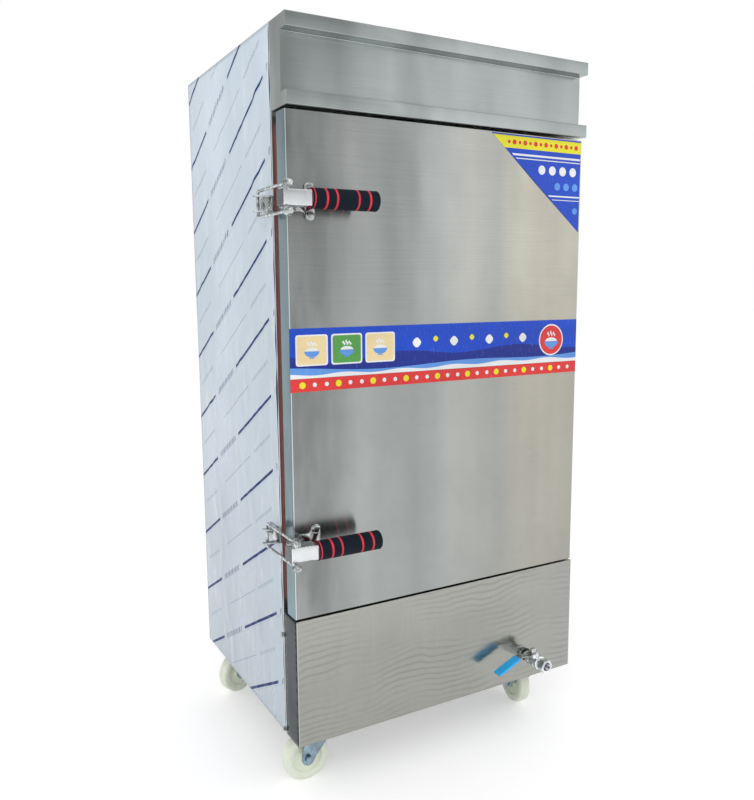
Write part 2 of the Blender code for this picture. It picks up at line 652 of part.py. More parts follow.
def build_tank():
    """Water tank, its heating element, terminal cover, feed pipe and the steam plate above."""
    half, back = TANK_HALF, TANK_BACK
    rim = CHAMBER_BOTTOM - SHEET - GAP
    tank = shell("water_tank", (-half, TANK_FRONT, TANK_BOTTOM), (half, back, rim), SHEET,
                 (0, 0, 0), (0, 0, 1), INNER_STEEL)
    cut(tank,
        rod("drain_hole", (VALVE_PLACE, TANK_FRONT - OVERRUN, VALVE_Z),
            (VALVE_PLACE, TANK_FRONT + SHEET + OVERRUN, VALVE_Z), PIPE_RADIUS + GAP, ROUND_MEDIUM),
        rod("feed_hole", (-INLET_PLACE, back - SHEET - OVERRUN, INLET_HEIGHT),
            (-INLET_PLACE, back + OVERRUN, INLET_HEIGHT), INLET_BORE, ROUND_SMALL))

    stub = BODY_DEPTH + INLET_STUB
    profile = [(INLET_BORE, stub), (INLET_RADIUS, stub), (INLET_RADIUS, back + GAP), (INLET_BORE, back + GAP)]
    place = frame_of((1, 0, 0), (0, 0, -1), (-INLET_PLACE, 0, INLET_HEIGHT))
    smooth(turned("water_inlet", profile, place, ROUND_SMALL, BRIGHT_STEEL))

    height = TANK_BOTTOM + SHEET + ELEMENT_HEIGHT
    start = back - SHEET - GAP
    front = TANK_FRONT + ELEMENT_FRONT_SPACE
    bend = ELEMENT_LEG_SPACING / 2
    first = -ELEMENT_LEG_SPACING * (ELEMENT_LEGS - 1) / 2
    points = [(first, start, height)]
    for leg in range(ELEMENT_LEGS - 1):
        x = first + leg * ELEMENT_LEG_SPACING
        if leg % 2 == 0:
            turn = arc((x + bend, front + bend), bend, 180, 360, ROUND_SMALL)
        else:
            turn = arc((x + bend, start - ELEMENT_LEG_SPACING), bend, 180, 0, ROUND_SMALL)
        points += [(px, py, height) for px, py in turn]
    points.append((-first, start, height))
    smooth(wire("heating_element", points, ELEMENT_RADIUS, ELEMENT_SHEATH))

    low = height + INLET_RADIUS - TERMINAL_HEIGHT / 2
    box("terminal_cover", (TERMINAL_INLET_SPACE - INLET_PLACE, back + GAP, low),
        (half - TERMINAL_INSET, back + GAP + TERMINAL_DEPTH, low + TERMINAL_HEIGHT), TERMINAL_PLASTIC)

    width, depth = FLOOR_HALF + STEAM_PLATE_MARGIN, (FLOOR_BACK - FLOOR_FRONT) / 2 - STEAM_PLATE_SLOT
    middle = (TANK_FRONT + TANK_BACK) / 2
    low = CHAMBER_BOTTOM + GAP
    steam_plate = box("steam_plate", (-width, middle - depth, low), (width, middle + depth, low + SHEET),
                      INNER_STEEL)
    holes = []
    for column in range(STEAM_HOLE_COLUMNS):
        for row in range(STEAM_HOLE_ROWS):
            x = (column - (STEAM_HOLE_COLUMNS - 1) / 2) * STEAM_HOLE_SPACING
            y = middle + (row - (STEAM_HOLE_ROWS - 1) / 2) * STEAM_HOLE_SPACING
            holes.append(rod("steam_hole", (x, y, low - OVERRUN), (x, y, low + SHEET + OVERRUN),
                             STEAM_HOLE_RADIUS, ROUND_SMALL // 2))
    cut(steam_plate, *holes)


def build_racks():
    """Ladders of rails on both chamber walls, and the trays that rest on them."""
    for side, name in ((-1, "tray_rack_left"), (1, "tray_rack_right")):
        wall = side * (CHAMBER_HALF - GAP)
        low = CHAMBER_BOTTOM + GAP
        high = RACK_TOP
        bars = []
        for y in (RAIL_FRONT + UPRIGHT_INSET, RAIL_BACK - UPRIGHT_INSET - UPRIGHT_WIDTH):
            corners = sorted((wall, wall - side * RACK_SHEET))
            bars.append(box("upright", (corners[0], y, low), (corners[1], y + UPRIGHT_WIDTH, high)))
        for level in range(RACK_LEVELS):
            z = RACK_BOTTOM + level * RACK_SPACING
            corners = sorted((wall, wall - side * RAIL_WIDTH))
            bars.append(box("rail", (corners[0], RAIL_FRONT, z),
                            (corners[1], RAIL_BACK, z + RACK_SHEET)))
        rack = bars.pop(0)
        rack.name = name
        rack.data.materials.append(INNER_STEEL)
        join(rack, *bars)

    half = CHAMBER_HALF - GAP - RACK_SHEET - TRAY_SIDE_CLEARANCE
    for number, level in enumerate(TRAY_LEVELS, 1):
        z = RACK_BOTTOM + level * RACK_SPACING + RACK_SHEET + GAP
        shell(f"tray_{number}", (-half, TRAY_FRONT, z), (half, TRAY_BACK, z + TRAY_HEIGHT), TRAY_SHEET,
              (0, 0, 0), (0, 0, 1), INNER_STEEL)


def build_door():
    """Boxed door with its liner, foam and gasket, all carried by the hinge's pivot."""
    hinge = pivot("door_pivot", (HINGE_X, HINGE_Y, 0))
    move = Vector((-HINGE_X, -HINGE_Y, 0))
    front, back = -DOOR_PROJECTION, DOOR_BACK
    low, high = Vector((-DOOR_HALF_WIDTH, front, DOOR_BOTTOM)), Vector((DOOR_HALF_WIDTH, back, DOOR_TOP))
    shell("door_skin", low + move, high + move, SHEET, (0, 0, 0), (0, 1, 0), STEEL, hinge)
    wall = Vector((SHEET + GAP, 0, SHEET + GAP))
    liner_front = back - DOOR_LINER_SHEET
    box("door_liner", low + wall + move + Vector((0, liner_front - front, 0)), high - wall + move,
        INNER_STEEL, hinge)
    box("door_foam", low + wall + move + Vector((0, SHEET + GAP, 0)),
        high - wall + move - Vector((0, DOOR_LINER_SHEET + GAP, 0)), FOAM, hinge)
    inset = Vector((GASKET_INSET, 0, GASKET_INSET))
    ring_low = low + inset + Vector((0, back + GAP - front, 0)) + move
    ring_high = high - inset + Vector((0, -GAP - back, 0)) + move
    width = Vector((GASKET_WIDTH, -OVERRUN, GASKET_WIDTH))
    gasket = box("door_gasket", ring_low, ring_high, SILICONE, hinge)
    bevel = gasket.modifiers.new("round", "BEVEL")
    bevel.width = GASKET_WIDTH / 4
    bevel.segments = 2
    bevel.limit_method = "ANGLE"
    settle(gasket)
    cut(gasket, box("gasket_inside", ring_low + width, ring_high - width, parent=hinge))
    return hinge


def build_hinges(door):
    """Two leaf hinges: body leaf with pin and lower knuckle, door leaf with upper knuckle."""
    face = HALF_WIDTH + GAP
    radius = HINGE_KNUCKLE_RADIUS
    for name, z in (("lower", DOOR_BOTTOM + HINGE_FROM_END), ("upper", DOOR_TOP - HINGE_FROM_END)):
        low, high = z - HINGE_HEIGHT / 2, z + HINGE_HEIGHT / 2
        axis = Vector((HINGE_X, HINGE_Y, 0))
        leaf = box(f"hinge_{name}_body_leaf", (face, HINGE_Y + radius + HINGE_CLEARANCE, low),
                   (face + HINGE_LEAF, HINGE_BODY_LEAF_WIDTH, high), BRIGHT_STEEL)
        arm = box("arm", (face, HINGE_Y, low), (face + HINGE_LEAF, HINGE_Y + radius + OVERRUN, z - GAP))
        foot, middle, head = (axis + Vector((0, 0, level)) for level in (low, z - GAP, high))
        knuckle = rod("knuckle", foot, middle, radius, ROUND_SMALL)
        pin = rod("pin", (foot + middle) / 2, head, HINGE_PIN_RADIUS, ROUND_SMALL)
        smooth(join(leaf, arm, knuckle, pin))

        x = face - HINGE_X
        door_leaf = box(f"hinge_{name}_door_leaf", (x, -HINGE_DOOR_LEAF_WIDTH - radius, low),
                        (x + HINGE_LEAF, -radius - HINGE_CLEARANCE, high), BRIGHT_STEEL, door)
        arm = box("arm", (x, -radius - OVERRUN, z + GAP), (x + HINGE_LEAF, 0, high), parent=door)
        knuckle = rod("knuckle", (0, 0, z + GAP), (0, 0, high), radius, ROUND_SMALL, parent=door)
        bore = rod("bore", (0, 0, z - OVERRUN), (0, 0, high + OVERRUN),
                   HINGE_PIN_RADIUS + HINGE_PIN_CLEARANCE, ROUND_SMALL, parent=door)
        smooth(cut(join(door_leaf, arm, knuckle), bore))


def bolt(place, axis, parent):
    """A hex bolt head on a round washer."""
    place, axis = Vector(place), Vector(axis)
    seat = place + axis * WASHER_THICKNESS
    washer = rod("washer", place, seat, WASHER_RADIUS, ROUND_SMALL, parent=parent)
    head = rod("head", (place + seat) / 2, seat + axis * BOLT_HEAD_HEIGHT, BOLT_HEAD_RADIUS, 6, parent=parent)
    return [washer, head]


def build_strike(name, z):
    """Hooked strike on the side panel, with its two bolts."""
    back = LEFT_FACE - GAP
    face = back - STRIKE_SHEET
    low, high = z - STRIKE_HALF_HEIGHT, z + STRIKE_HALF_HEIGHT
    strike = box(f"{name}_strike", (face, STRIKE_FRONT, low), (back, STRIKE_LENGTH, high), BRIGHT_STEEL)
    root, tip, neck = back - GAP, face - STRIKE_PRONG, STRIKE_FRONT + STRIKE_SHEET
    outline = [(root, neck), (root, STRIKE_HOOK_BACK), (tip, STRIKE_HOOK_BACK),
               (tip, STRIKE_HOOK_BACK - STRIKE_PRONG_TIP), (face - STRIKE_SHEET, neck)]
    hooks = [plate("hook", outline, STRIKE_SHEET, Matrix.Translation((0, 0, bottom)))
             for bottom in (low, high - STRIKE_SHEET)]
    bolts = []
    for y in STRIKE_BOLT_PLACES:
        bolts += bolt((face + GAP, y, z), (-1, 0, 0), FRAME)
    smooth(join(strike, *hooks, *bolts))


def build_bracket(name, z, door):
    """Latch bracket on the door front: plate, two arms, pivot pin and two bolts."""
    move = Vector((-HINGE_X, -HINGE_Y, 0))
    left, low, tall = LEFT_FACE + BRACKET_PLATE_LEFT, BRACKET_BODY_HALF_HEIGHT, BRACKET_HALF_HEIGHT
    back, middle = -DOOR_PROJECTION - GAP, left + BRACKET_BOLT_PLACE
    front = back - BRACKET_SHEET
    ear, right = middle - BRACKET_EAR_HALF_WIDTH, middle + BRACKET_EAR_HALF_WIDTH
    outline = [(left, -low), (ear, -low), (ear, -tall), (right, -tall),
               (right, tall), (ear, tall), (ear, low), (left, low)]
    place = frame_of((1, 0, 0), (0, 0, 1), Vector((0, back, z)) + move)
    bracket = plate(f"{name}_bracket", outline, BRACKET_SHEET, place, BRIGHT_STEEL, door)
    root, arm_right = front + BRACKET_SHEET / 2, left + BRACKET_ARM_WIDTH
    outline = arc((PIVOT_X, PIVOT_Y), BRACKET_LUG_RADIUS, 110, 290, ROUND_SMALL // 2)
    outline += [(arm_right, root - BRACKET_SHEET), (arm_right, root), (left + BRACKET_SHEET, root)]
    inner = LEVER_HALF_HEIGHT + HINGE_CLEARANCE
    tools = []
    for bottom in (z + inner, z - inner - BRACKET_ARM_HEIGHT):
        place = Matrix.Translation(Vector((0, 0, bottom)) + move)
        tools.append(plate("arm", outline, BRACKET_ARM_HEIGHT, place, parent=door))
    pin = Vector((PIVOT_X, PIVOT_Y, z)) + move
    half = Vector((0, 0, PIN_HALF_LENGTH))
    tools.append(rod("pin", pin - half, pin + half, PIN_RADIUS, ROUND_SMALL, parent=door))
    for side in (-1, 1):
        seat = Vector((middle, front + GAP, z + side * BRACKET_BOLT_HALF_SPACING))
        tools += bolt(seat + move, (0, -1, 0), door)
    smooth(join(bracket, *tools))


def build_lever(name, z, door):
    """Lever channel with the core of its grip, on the bracket's pivot."""
    lever = pivot(f"{name}_lever_pivot", (PIVOT_X - HINGE_X, PIVOT_Y - HINGE_Y, z), door)
    left = LEFT_FACE - LEVER_OUT - PIVOT_X
    right = left + LEVER_LENGTH
    front, back = -DOOR_PROJECTION - LEVER_AHEAD - PIVOT_Y, LEVER_BACK
    half = LEVER_HALF_HEIGHT
    channel = shell(f"{name}_lever", (left, front, -half), (right, back, half), LEVER_SHEET,
                    (0, 0, 0), (0, 1, 0), BRIGHT_STEEL, lever)
    grip_y = -DOOR_PROJECTION - GRIP_AHEAD - PIVOT_Y
    core_end = right + GRIP_LENGTH - GRIP_CORE_OVERLAP
    join(channel, rod("core", (right - LEVER_SHEET, grip_y, 0), (core_end, grip_y, 0), GRIP_CORE_RADIUS,
                      ROUND_SMALL, parent=lever))
    reach = Vector((TRUNNION_X - PIVOT_X, -TRUNNION_REACH, 0))
    tall = Vector((0, 0, half + OVERRUN))
    cut(channel,
        rod("pin_hole", -tall, tall, PIN_RADIUS + GAP, ROUND_SMALL, parent=lever),
        rod("trunnion_hole", reach - tall, reach + tall, TRUNNION_RADIUS + GAP, ROUND_MEDIUM, parent=lever))
    smooth(channel)

    length, edge, bore = GRIP_LENGTH, GRIP_ROUNDING, GRIP_CORE_RADIUS + GAP
    rim, depth = GRIP_RADIUS - edge, length - GRIP_CORE_OVERLAP + GAP
    profile = [(0, length)] + arc((rim, length - edge), edge, 90, 0, 3)
    profile += arc((rim, edge), edge, 0, -90, 3) + [(bore, 0), (bore, depth), (0, depth)]
    place = frame_of((0, 1, 0), (0, 0, 1), (right + GAP, grip_y, 0))
    smooth(turned(f"{name}_grip", profile, place, ROUND_MEDIUM, GRIP_FOAM, lever))
    return lever


def build_bail(name, lever):
    """Wire bail with its adjusting nuts, carried by the trunnion."""
    bail = pivot(f"{name}_bail_pivot", (TRUNNION_X - PIVOT_X, -TRUNNION_REACH, 0), lever)
    half, span = TRUNNION_HALF_LENGTH, TRUNNION_RADIUS + OVERRUN
    trunnion = rod(f"{name}_trunnion", (0, 0, -half), (0, 0, half), TRUNNION_RADIUS, ROUND_MEDIUM,
                   BRIGHT_STEEL, bail)
    legs = (-BAIL_HALF_HEIGHT, BAIL_HALF_HEIGHT)
    holes = [rod("leg_hole", (0, -span, z), (0, span, z), BAIL_RADIUS + GAP, ROUND_SMALL, parent=bail)
             for z in legs]
    smooth(cut(trunnion, *holes))

    bar = STRIKE_HOOK_BACK + GAP + BAIL_RADIUS - TRUNNION_Y
    front, corner, top = -TRUNNION_RADIUS - GAP - BAIL_NUT_LENGTH / 2, BAIL_CORNER, BAIL_HALF_HEIGHT
    points = [(0, front, top)]
    points += [(0, y, z) for y, z in arc((bar - corner, top - corner), corner, 90, 0, 4)]
    points += [(0, y, z) for y, z in arc((bar - corner, corner - top), corner, 0, -90, 4)]
    points.append((0, front, -top))
    wire_piece = wire(f"{name}_bail", points, BAIL_RADIUS, BRIGHT_STEEL, bail)
    radius, length = BAIL_NUT_RADIUS, BAIL_NUT_LENGTH
    dome = arc((0, length - radius), radius, 90, 0, 4)
    profile = [(0, length)] + dome[1:] + [(radius, 0), (0, 0)]
    half_facet = Matrix.Rotation(math.pi / ROUND_MEDIUM, 4, "Z")
    nuts = []
    for z in legs:
        place = frame_of((1, 0, 0), (0, 0, 1), (0, -TRUNNION_RADIUS - GAP, z)) @ half_facet
        nuts.append(turned("nut", profile, place, ROUND_MEDIUM, parent=bail))
    smooth(join(wire_piece, *nuts))


def build_latches(door):
    """Upper and lower latch, each from strike to grip."""
    for name, z in (("upper_latch", UPPER_LATCH), ("lower_latch", LOWER_LATCH)):
        build_strike(name, z)
        build_bracket(name, z, door)
        build_bail(name, build_lever(name, z, door))


def wheel_profile():
    """Half section of a nylon wheel: hub, recessed web and rim with rounded edges."""
    bore, hub = AXLE_RADIUS + AXLE_CLEARANCE, WHEEL_HUB_RADIUS
    recess, rim = WHEEL_RECESS_RADIUS, WHEEL_RADIUS
    half, hub_half, edge = WHEEL_HALF_WIDTH, WHEEL_HUB_HALF_WIDTH, WHEEL_ROUNDING
    web = half - WHEEL_RECESS
    side = [(bore, hub_half), (hub, hub_half), (hub, web), (recess, web), (recess + edge, half)]
    side += [(rim - edge + x, half - edge + z) for x, z in arc((0, 0), edge, 90, 0, 2)]
    return side + [(radius, -height) for radius, height in reversed(side)]


def build_caster(name, x, y, yaw):
    """Plate under the base, swivelling fork with its axle, and the wheel."""
    top = CASTER_HEIGHT
    half = CASTER_PLATE / 2
    plate_low = top - CASTER_PLATE_THICKNESS
    race_low = plate_low - FORK_SHEET
    mount = box(f"caster_{name}_plate", (x - half, y - half, plate_low), (x + half, y + half, top), ZINC)
    race = rod("race", (x, y, race_low), (x, y, plate_low + GAP), SWIVEL_RADIUS - FORK_SHEET, ROUND_MEDIUM)
    smooth(join(mount, race))

    swivel = pivot(f"caster_{name}_swivel", (x, y, 0), turn=yaw)
    cap_top, cap_low = race_low - GAP, race_low - GAP - SWIVEL_HEIGHT
    axle_z = WHEEL_RADIUS * math.cos(math.pi / ROUND_LARGE)
    leg_in = WHEEL_HUB_HALF_WIDTH + FORK_CLEARANCE
    leg_out = leg_in + FORK_SHEET
    back, ahead = -FORK_TOP_WIDTH / 2, FORK_TOP_WIDTH / 2 + FORK_SHEET
    fork = box(f"caster_{name}_fork", (back, -leg_out, cap_low - FORK_SHEET), (ahead, leg_out, cap_low), ZINC,
               swivel)
    cap = rod("cap", (0, 0, cap_low - GAP), (0, 0, cap_top), SWIVEL_RADIUS, ROUND_MEDIUM, parent=swivel)
    foot = arc((CASTER_TRAIL, axle_z), FORK_FOOT_RADIUS, 190, 355, ROUND_SMALL // 2)
    outline = [(ahead, cap_low - GAP), (back, cap_low - GAP), (back, cap_low - SWIVEL_HEIGHT)] + foot
    outline.append((ahead, cap_low - SWIVEL_HEIGHT))
    legs = [plate("leg", outline, FORK_SHEET, frame_of((1, 0, 0), (0, 0, 1), (0, side, 0)), parent=swivel)
            for side in (leg_out, -leg_in)]
    axle_out = leg_out + AXLE_NUT_LENGTH
    ends = [Vector((CASTER_TRAIL, side * axle_out, axle_z)) for side in (-1, 1)]
    axle = rod("axle", *ends, AXLE_RADIUS, ROUND_SMALL, parent=swivel)
    nuts = []
    for side, end in zip((-1, 1), ends):
        seat = Vector((CASTER_TRAIL, side * (leg_out - GAP), axle_z))
        nuts.append(rod("axle_nut", seat, end, AXLE_NUT_RADIUS, 6, parent=swivel))
    smooth(join(fork, cap, *legs, axle, *nuts))

    spin = pivot(f"caster_{name}_axle", (CASTER_TRAIL, 0, axle_z), swivel)
    half_facet = Matrix.Rotation(math.pi / ROUND_LARGE, 4, "Z")
    place = frame_of((1, 0, 0), (0, 0, 1), (0, 0, 0)) @ half_facet
    smooth(turned(f"caster_{name}_wheel", wheel_profile(), place, ROUND_LARGE, NYLON, spin))


def build_casters():
    """Four swivel casters at the corners."""
    for depth, y in (("front", CASTER_FRONT), ("rear", CASTER_REAR)):
        for side, x in (("left", -CASTER_SIDE), ("right", CASTER_SIDE)):
            name = f"{depth}_{side}"
            build_caster(name, x, y, CASTER_YAWS[name])


def build_valve():
    """Drain pipe through the lower panel, ball valve, stem, handle and its sleeve."""
    along_pipe = frame_of((1, 0, 0), (0, 0, 1), (VALVE_PLACE, 0, VALVE_Z))
    inside = -TANK_FRONT - SHEET - PIPE_INSIDE
    profile = [(PIPE_BORE, -PIPE_END), (PIPE_RADIUS, -PIPE_END), (PIPE_RADIUS, inside), (PIPE_BORE, inside)]
    smooth(turned("drain_pipe", profile, along_pipe, ROUND_MEDIUM, BRIGHT_STEEL))

    front, rear = LOWER_PANEL_PROJECTION + GAP, LOWER_PANEL_PROJECTION - SHEET - GAP
    lip, thick = PANEL_HOLE_RADIUS + GROMMET_LIP, GROMMET_THICKNESS / 2
    neck, bore = PANEL_HOLE_RADIUS - GAP, PIPE_RADIUS + GAP
    profile = [(bore, front + thick), (lip, front + thick), (lip, front), (neck, front),
               (neck, rear), (lip, rear), (lip, rear - thick), (bore, rear - thick)]
    smooth(turned("pipe_grommet", profile, along_pipe, ROUND_MEDIUM, RUBBER))

    start = Vector((VALVE_PLACE, VALVE_START, VALVE_Z))
    ahead = Vector((0, -1, 0))
    inlet_end = start + ahead * INLET_HEX_LENGTH
    barrel_end = inlet_end + ahead * BARREL_LENGTH
    neck_end = barrel_end + ahead * NECK_LENGTH
    outlet_end = neck_end + ahead * OUTLET_HEX_LENGTH
    body = rod("valve_body", start, inlet_end, INLET_HEX_RADIUS, 6, CHROME)
    barrel = rod("barrel", inlet_end - ahead * GAP, barrel_end, BARREL_RADIUS, ROUND_MEDIUM)
    collar = rod("neck", barrel_end - ahead * GAP, neck_end, NECK_RADIUS, ROUND_MEDIUM)
    outlet = rod("outlet", neck_end - ahead * GAP, outlet_end, OUTLET_HEX_RADIUS, 6)
    tilt = math.radians(STEM_TILT)
    stem_axis = Vector((-math.sin(tilt), 0, math.cos(tilt)))
    base = Vector((VALVE_PLACE, STEM_Y, VALVE_Z))
    boss = rod("boss", base, base + stem_axis * BOSS_HEIGHT, BOSS_RADIUS, ROUND_MEDIUM)
    join(body, barrel, collar, outlet, boss)
    mouth = rod("mouth", neck_end, outlet_end + ahead * OVERRUN, PIPE_RADIUS, ROUND_MEDIUM)
    way = rod("way", barrel_end, neck_end + ahead * OVERRUN, PIPE_BORE, ROUND_MEDIUM)
    back_way = rod("back_way", start - ahead * OVERRUN, inlet_end, PIPE_BORE, ROUND_MEDIUM)
    smooth(cut(body, mouth, way, back_way))

    handle = pivot("valve_stem_pivot", base)
    along_lever = Vector((-math.cos(tilt), 0, -math.sin(tilt)))
    handle.rotation_euler = Matrix((along_lever, ahead, stem_axis)).transposed().to_euler()
    seat = BOSS_HEIGHT + GAP
    shoulder = seat + HANDLE_THICKNESS / 2
    nut_low = shoulder + HANDLE_THICKNESS + 2 * GAP
    stem = rod("valve_stem", (0, 0, seat), (0, 0, STEM_TOP), STEM_RADIUS, ROUND_SMALL, CHROME, handle)
    collar = rod("shoulder", (0, 0, seat), (0, 0, shoulder), BOSS_RADIUS - GAP, ROUND_MEDIUM, parent=handle)
    nut = rod("nut", (0, 0, nut_low), (0, 0, nut_low + STEM_NUT_HEIGHT), STEM_NUT_RADIUS, 6, parent=handle)
    smooth(join(stem, collar, nut))

    low, thick = shoulder + GAP, HANDLE_THICKNESS
    high = low + HANDLE_CRANK_RISE
    end = SLEEVE_START + SLEEVE_LENGTH - OVERRUN
    outline = [(-STEM_NUT_RADIUS, low), (HANDLE_CRANK_START, low), (HANDLE_CRANK_END, high), (end, high),
               (end, high + thick), (HANDLE_CRANK_END - thick / 2, high + thick),
               (HANDLE_CRANK_START - thick / 2, low + thick), (-STEM_NUT_RADIUS, low + thick)]
    place = frame_of((1, 0, 0), (0, 0, 1), (0, HANDLE_WIDTH / 2, 0))
    strip = plate("valve_handle", outline, HANDLE_WIDTH, place, BRIGHT_STEEL, handle)
    cut(strip, rod("stem_hole", (0, 0, low - OVERRUN), (0, 0, low + thick + OVERRUN), STEM_RADIUS + GAP,
                   ROUND_SMALL, parent=handle))

    middle = high + thick / 2
    side, rise = SLEEVE_WIDTH / 2, SLEEVE_THICKNESS / 2
    sleeve = box("handle_sleeve", (SLEEVE_START, -side, middle - rise),
                 (SLEEVE_START + SLEEVE_LENGTH, side, middle + rise), VINYL, handle)
    rounding = sleeve.modifiers.new("round", "BEVEL")
    rounding.width = SLEEVE_THICKNESS / 4
    rounding.segments = 2
    settle(sleeve)
    slot_side, slot_rise = HANDLE_WIDTH / 2 + SLEEVE_CLEARANCE, thick / 2 + SLEEVE_CLEARANCE
    slot = box("slot", (SLEEVE_START - OVERRUN, -slot_side, middle - slot_rise),
               (end + SLEEVE_CLEARANCE, slot_side, middle + slot_rise), parent=handle)
    smooth(cut(sleeve, slot))


def main():
    """Build every sub-assembly."""
    build_shell()
    build_vent()
    build_fascia()
    build_lower_panel()
    build_base()
    build_tank()
    build_racks()
    door = build_door()
    build_hinges(door)
    build_latches(door)
    build_casters()
    build_valve()
    bpy.context.view_layer.update()


main()
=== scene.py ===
"""Looks of a rice steamer cabinet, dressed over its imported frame.

Lengths are metres. Sizes are given in the cabinet's own axes: x = 0 on its middle plane,
y = 0 at the front edge of the side sheets with +y to the back, and z = 0 on the floor.
PLACE moves them into the frame's axes when a mesh is made.
"""

import logging
import math
from collections.abc import Callable, Sequence
from dataclasses import dataclass, field
from enum import Enum

import bmesh
import bpy
import numpy as np
from mathutils import Matrix, Vector

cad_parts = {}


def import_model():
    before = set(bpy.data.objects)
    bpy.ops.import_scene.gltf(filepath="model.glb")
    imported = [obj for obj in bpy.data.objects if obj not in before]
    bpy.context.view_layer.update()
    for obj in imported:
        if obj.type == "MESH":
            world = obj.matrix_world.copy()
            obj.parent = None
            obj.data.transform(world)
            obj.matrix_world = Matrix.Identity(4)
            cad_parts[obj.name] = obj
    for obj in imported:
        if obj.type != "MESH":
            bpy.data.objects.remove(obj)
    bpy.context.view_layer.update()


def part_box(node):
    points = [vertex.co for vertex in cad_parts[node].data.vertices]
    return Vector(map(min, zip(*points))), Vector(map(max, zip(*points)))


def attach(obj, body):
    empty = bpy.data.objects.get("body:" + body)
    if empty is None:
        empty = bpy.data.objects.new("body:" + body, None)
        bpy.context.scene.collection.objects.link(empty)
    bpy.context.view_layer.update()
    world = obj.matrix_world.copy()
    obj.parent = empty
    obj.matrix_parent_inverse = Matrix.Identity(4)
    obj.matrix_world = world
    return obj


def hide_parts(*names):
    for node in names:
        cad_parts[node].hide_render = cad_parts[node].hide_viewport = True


LOG = logging.getLogger("rice_steamer")

Piece = bpy.types.Object
Socket = bpy.types.NodeSocket
Colour = tuple[float, float, float, float]
Points = np.ndarray
Numbers = Sequence[float]
Rows = Sequence[Sequence[float]]
Warp = Callable[[Points], Points]
Height = Callable[[Points, Points], Points]

# Main sizes, the gap left between pieces of two materials, and directions
PLACE = np.array([0.00965, -0.19625, 0.0])
HALF_WIDTH = 0.350
BODY_DEPTH = 0.5115
BODY_BOTTOM = 0.120
BODY_TOP = 1.488
LOWER_TOP = 0.380
FASCIA_BOTTOM = 1.3335
DOOR_BOTTOM = 0.383
DOOR_TOP = 1.329
DOOR_FRONT = -0.0575
DOOR_BACK = -0.0190
SHEET = 0.0012
SEAM = 0.0003
SIDE_SCREWS = (0.330, 0.128)
UPPER_LATCH = 1.170
LOWER_LATCH = 0.5345
X_AXIS, Y_AXIS, Z_AXIS = (1, 0, 0), (0, 1, 0), (0, 0, 1)
AHEAD = (0, -1, 0)
SIDES = ((-1, "left"), (1, "right"))
CREASE = 38.0
TOUCHING = 1e-6


# Mesh making


def grid_faces(rows: int, columns: int, wrap_rows: bool = False, wrap_columns: bool = False) -> Points:
    """Quads of a grid of points stored row by row.

    Args:
        rows: Number of rows of points.
        columns: Number of points in a row.
        wrap_rows: Join the last row to the first.
        wrap_columns: Join the last column to the first.

    Returns:
        An array of four point numbers a quad.
    """
    r = np.arange(rows if wrap_rows else rows - 1)
    c = np.arange(columns if wrap_columns else columns - 1)
    r, c = (a.ravel() for a in np.meshgrid(r, c, indexing="ij"))
    r2, c2 = (r + 1) % rows, (c + 1) % columns
    return np.stack([r * columns + c, r * columns + c2, r2 * columns + c2, r2 * columns + c], axis=1)


def new_piece(name: str, mesh: bpy.types.Mesh) -> Piece:
    """Smooth object of a mesh, linked to the scene."""
    mesh.shade_smooth()
    piece = bpy.data.objects.new(name, mesh)
    bpy.context.scene.collection.objects.link(piece)
    return piece


def make_mesh(name: str, points: Points, faces: Sequence[Sequence[int]], outward: bool = True) -> Piece:
    """Make an object from points in the cabinet's axes and its faces.

    Args:
        name: Name of the piece.
        points: Array of points, one a row.
        faces: Point numbers of each face.
        outward: Merge doubles and turn the faces of a closed shape outwards.

    Returns:
        The new object, at the origin, with its place in its mesh.
    """
    mesh = bpy.data.meshes.new(name)
    placed = np.asarray(points, float).reshape(-1, 3) + PLACE
    mesh.from_pydata(placed.tolist(), [], [list(face) for face in faces])
    bm = bmesh.new()
    bm.from_mesh(mesh)
    bmesh.ops.remove_doubles(bm, verts=bm.verts, dist=TOUCHING)
    if outward:
        bmesh.ops.recalc_face_normals(bm, faces=bm.faces)
    bm.to_mesh(mesh)
    bm.free()
    return new_piece(name, mesh)


def unite(name: str, parts: Sequence[Piece]) -> Piece:
    """Join several objects, modifiers applied, into one mesh.

    Args:
        name: Name of the joined piece.
        parts: Objects that are used up.

    Returns:
        The joined object.
    """
    view = bpy.context.evaluated_depsgraph_get()
    view.update()
    bm = bmesh.new()
    for part in parts:
        flat = bpy.data.meshes.new_from_object(part.evaluated_get(view))
        bm.from_mesh(flat)
        bpy.data.meshes.remove(flat)
    mesh = bpy.data.meshes.new(name)
    bm.to_mesh(mesh)
    bm.free()
    for part in parts:
        bpy.data.objects.remove(part, do_unlink=True)
    return crisp(new_piece(name, mesh))


def crisp(piece: Piece, angle: float = CREASE) -> Piece:
    """Keep the edges that turn by more than an angle, in degrees, sharp."""
    piece.data.set_sharp_from_angle(angle=math.radians(angle))
    return piece


def soften(piece: Piece, radius: float, segments: int = 2, angle: float = 30.0) -> Piece:
    """Round a piece's edges with a live Bevel and keep its faces flat.

    Args:
        piece: Object to finish.
        radius: Width of the rounding.
        segments: Steps of the rounding.
        angle: Smallest angle, in degrees, that counts as an edge.

    Returns:
        The same object.
    """
    bevel = piece.modifiers.new("edge", "BEVEL")
    bevel.width = radius
    bevel.segments = segments
    bevel.limit_method = "ANGLE"
    bevel.angle_limit = math.radians(angle)
    bevel.harden_normals = True
    return piece


def thicken(piece: Piece, thickness: float, offset: float = -1.0) -> Piece:
    """Give a sheet its thickness with a live Solidify, inwards unless offset says otherwise."""
    solid = piece.modifiers.new("sheet", "SOLIDIFY")
    solid.thickness = thickness
    solid.offset = offset
    solid.use_even_offset = True
    return piece


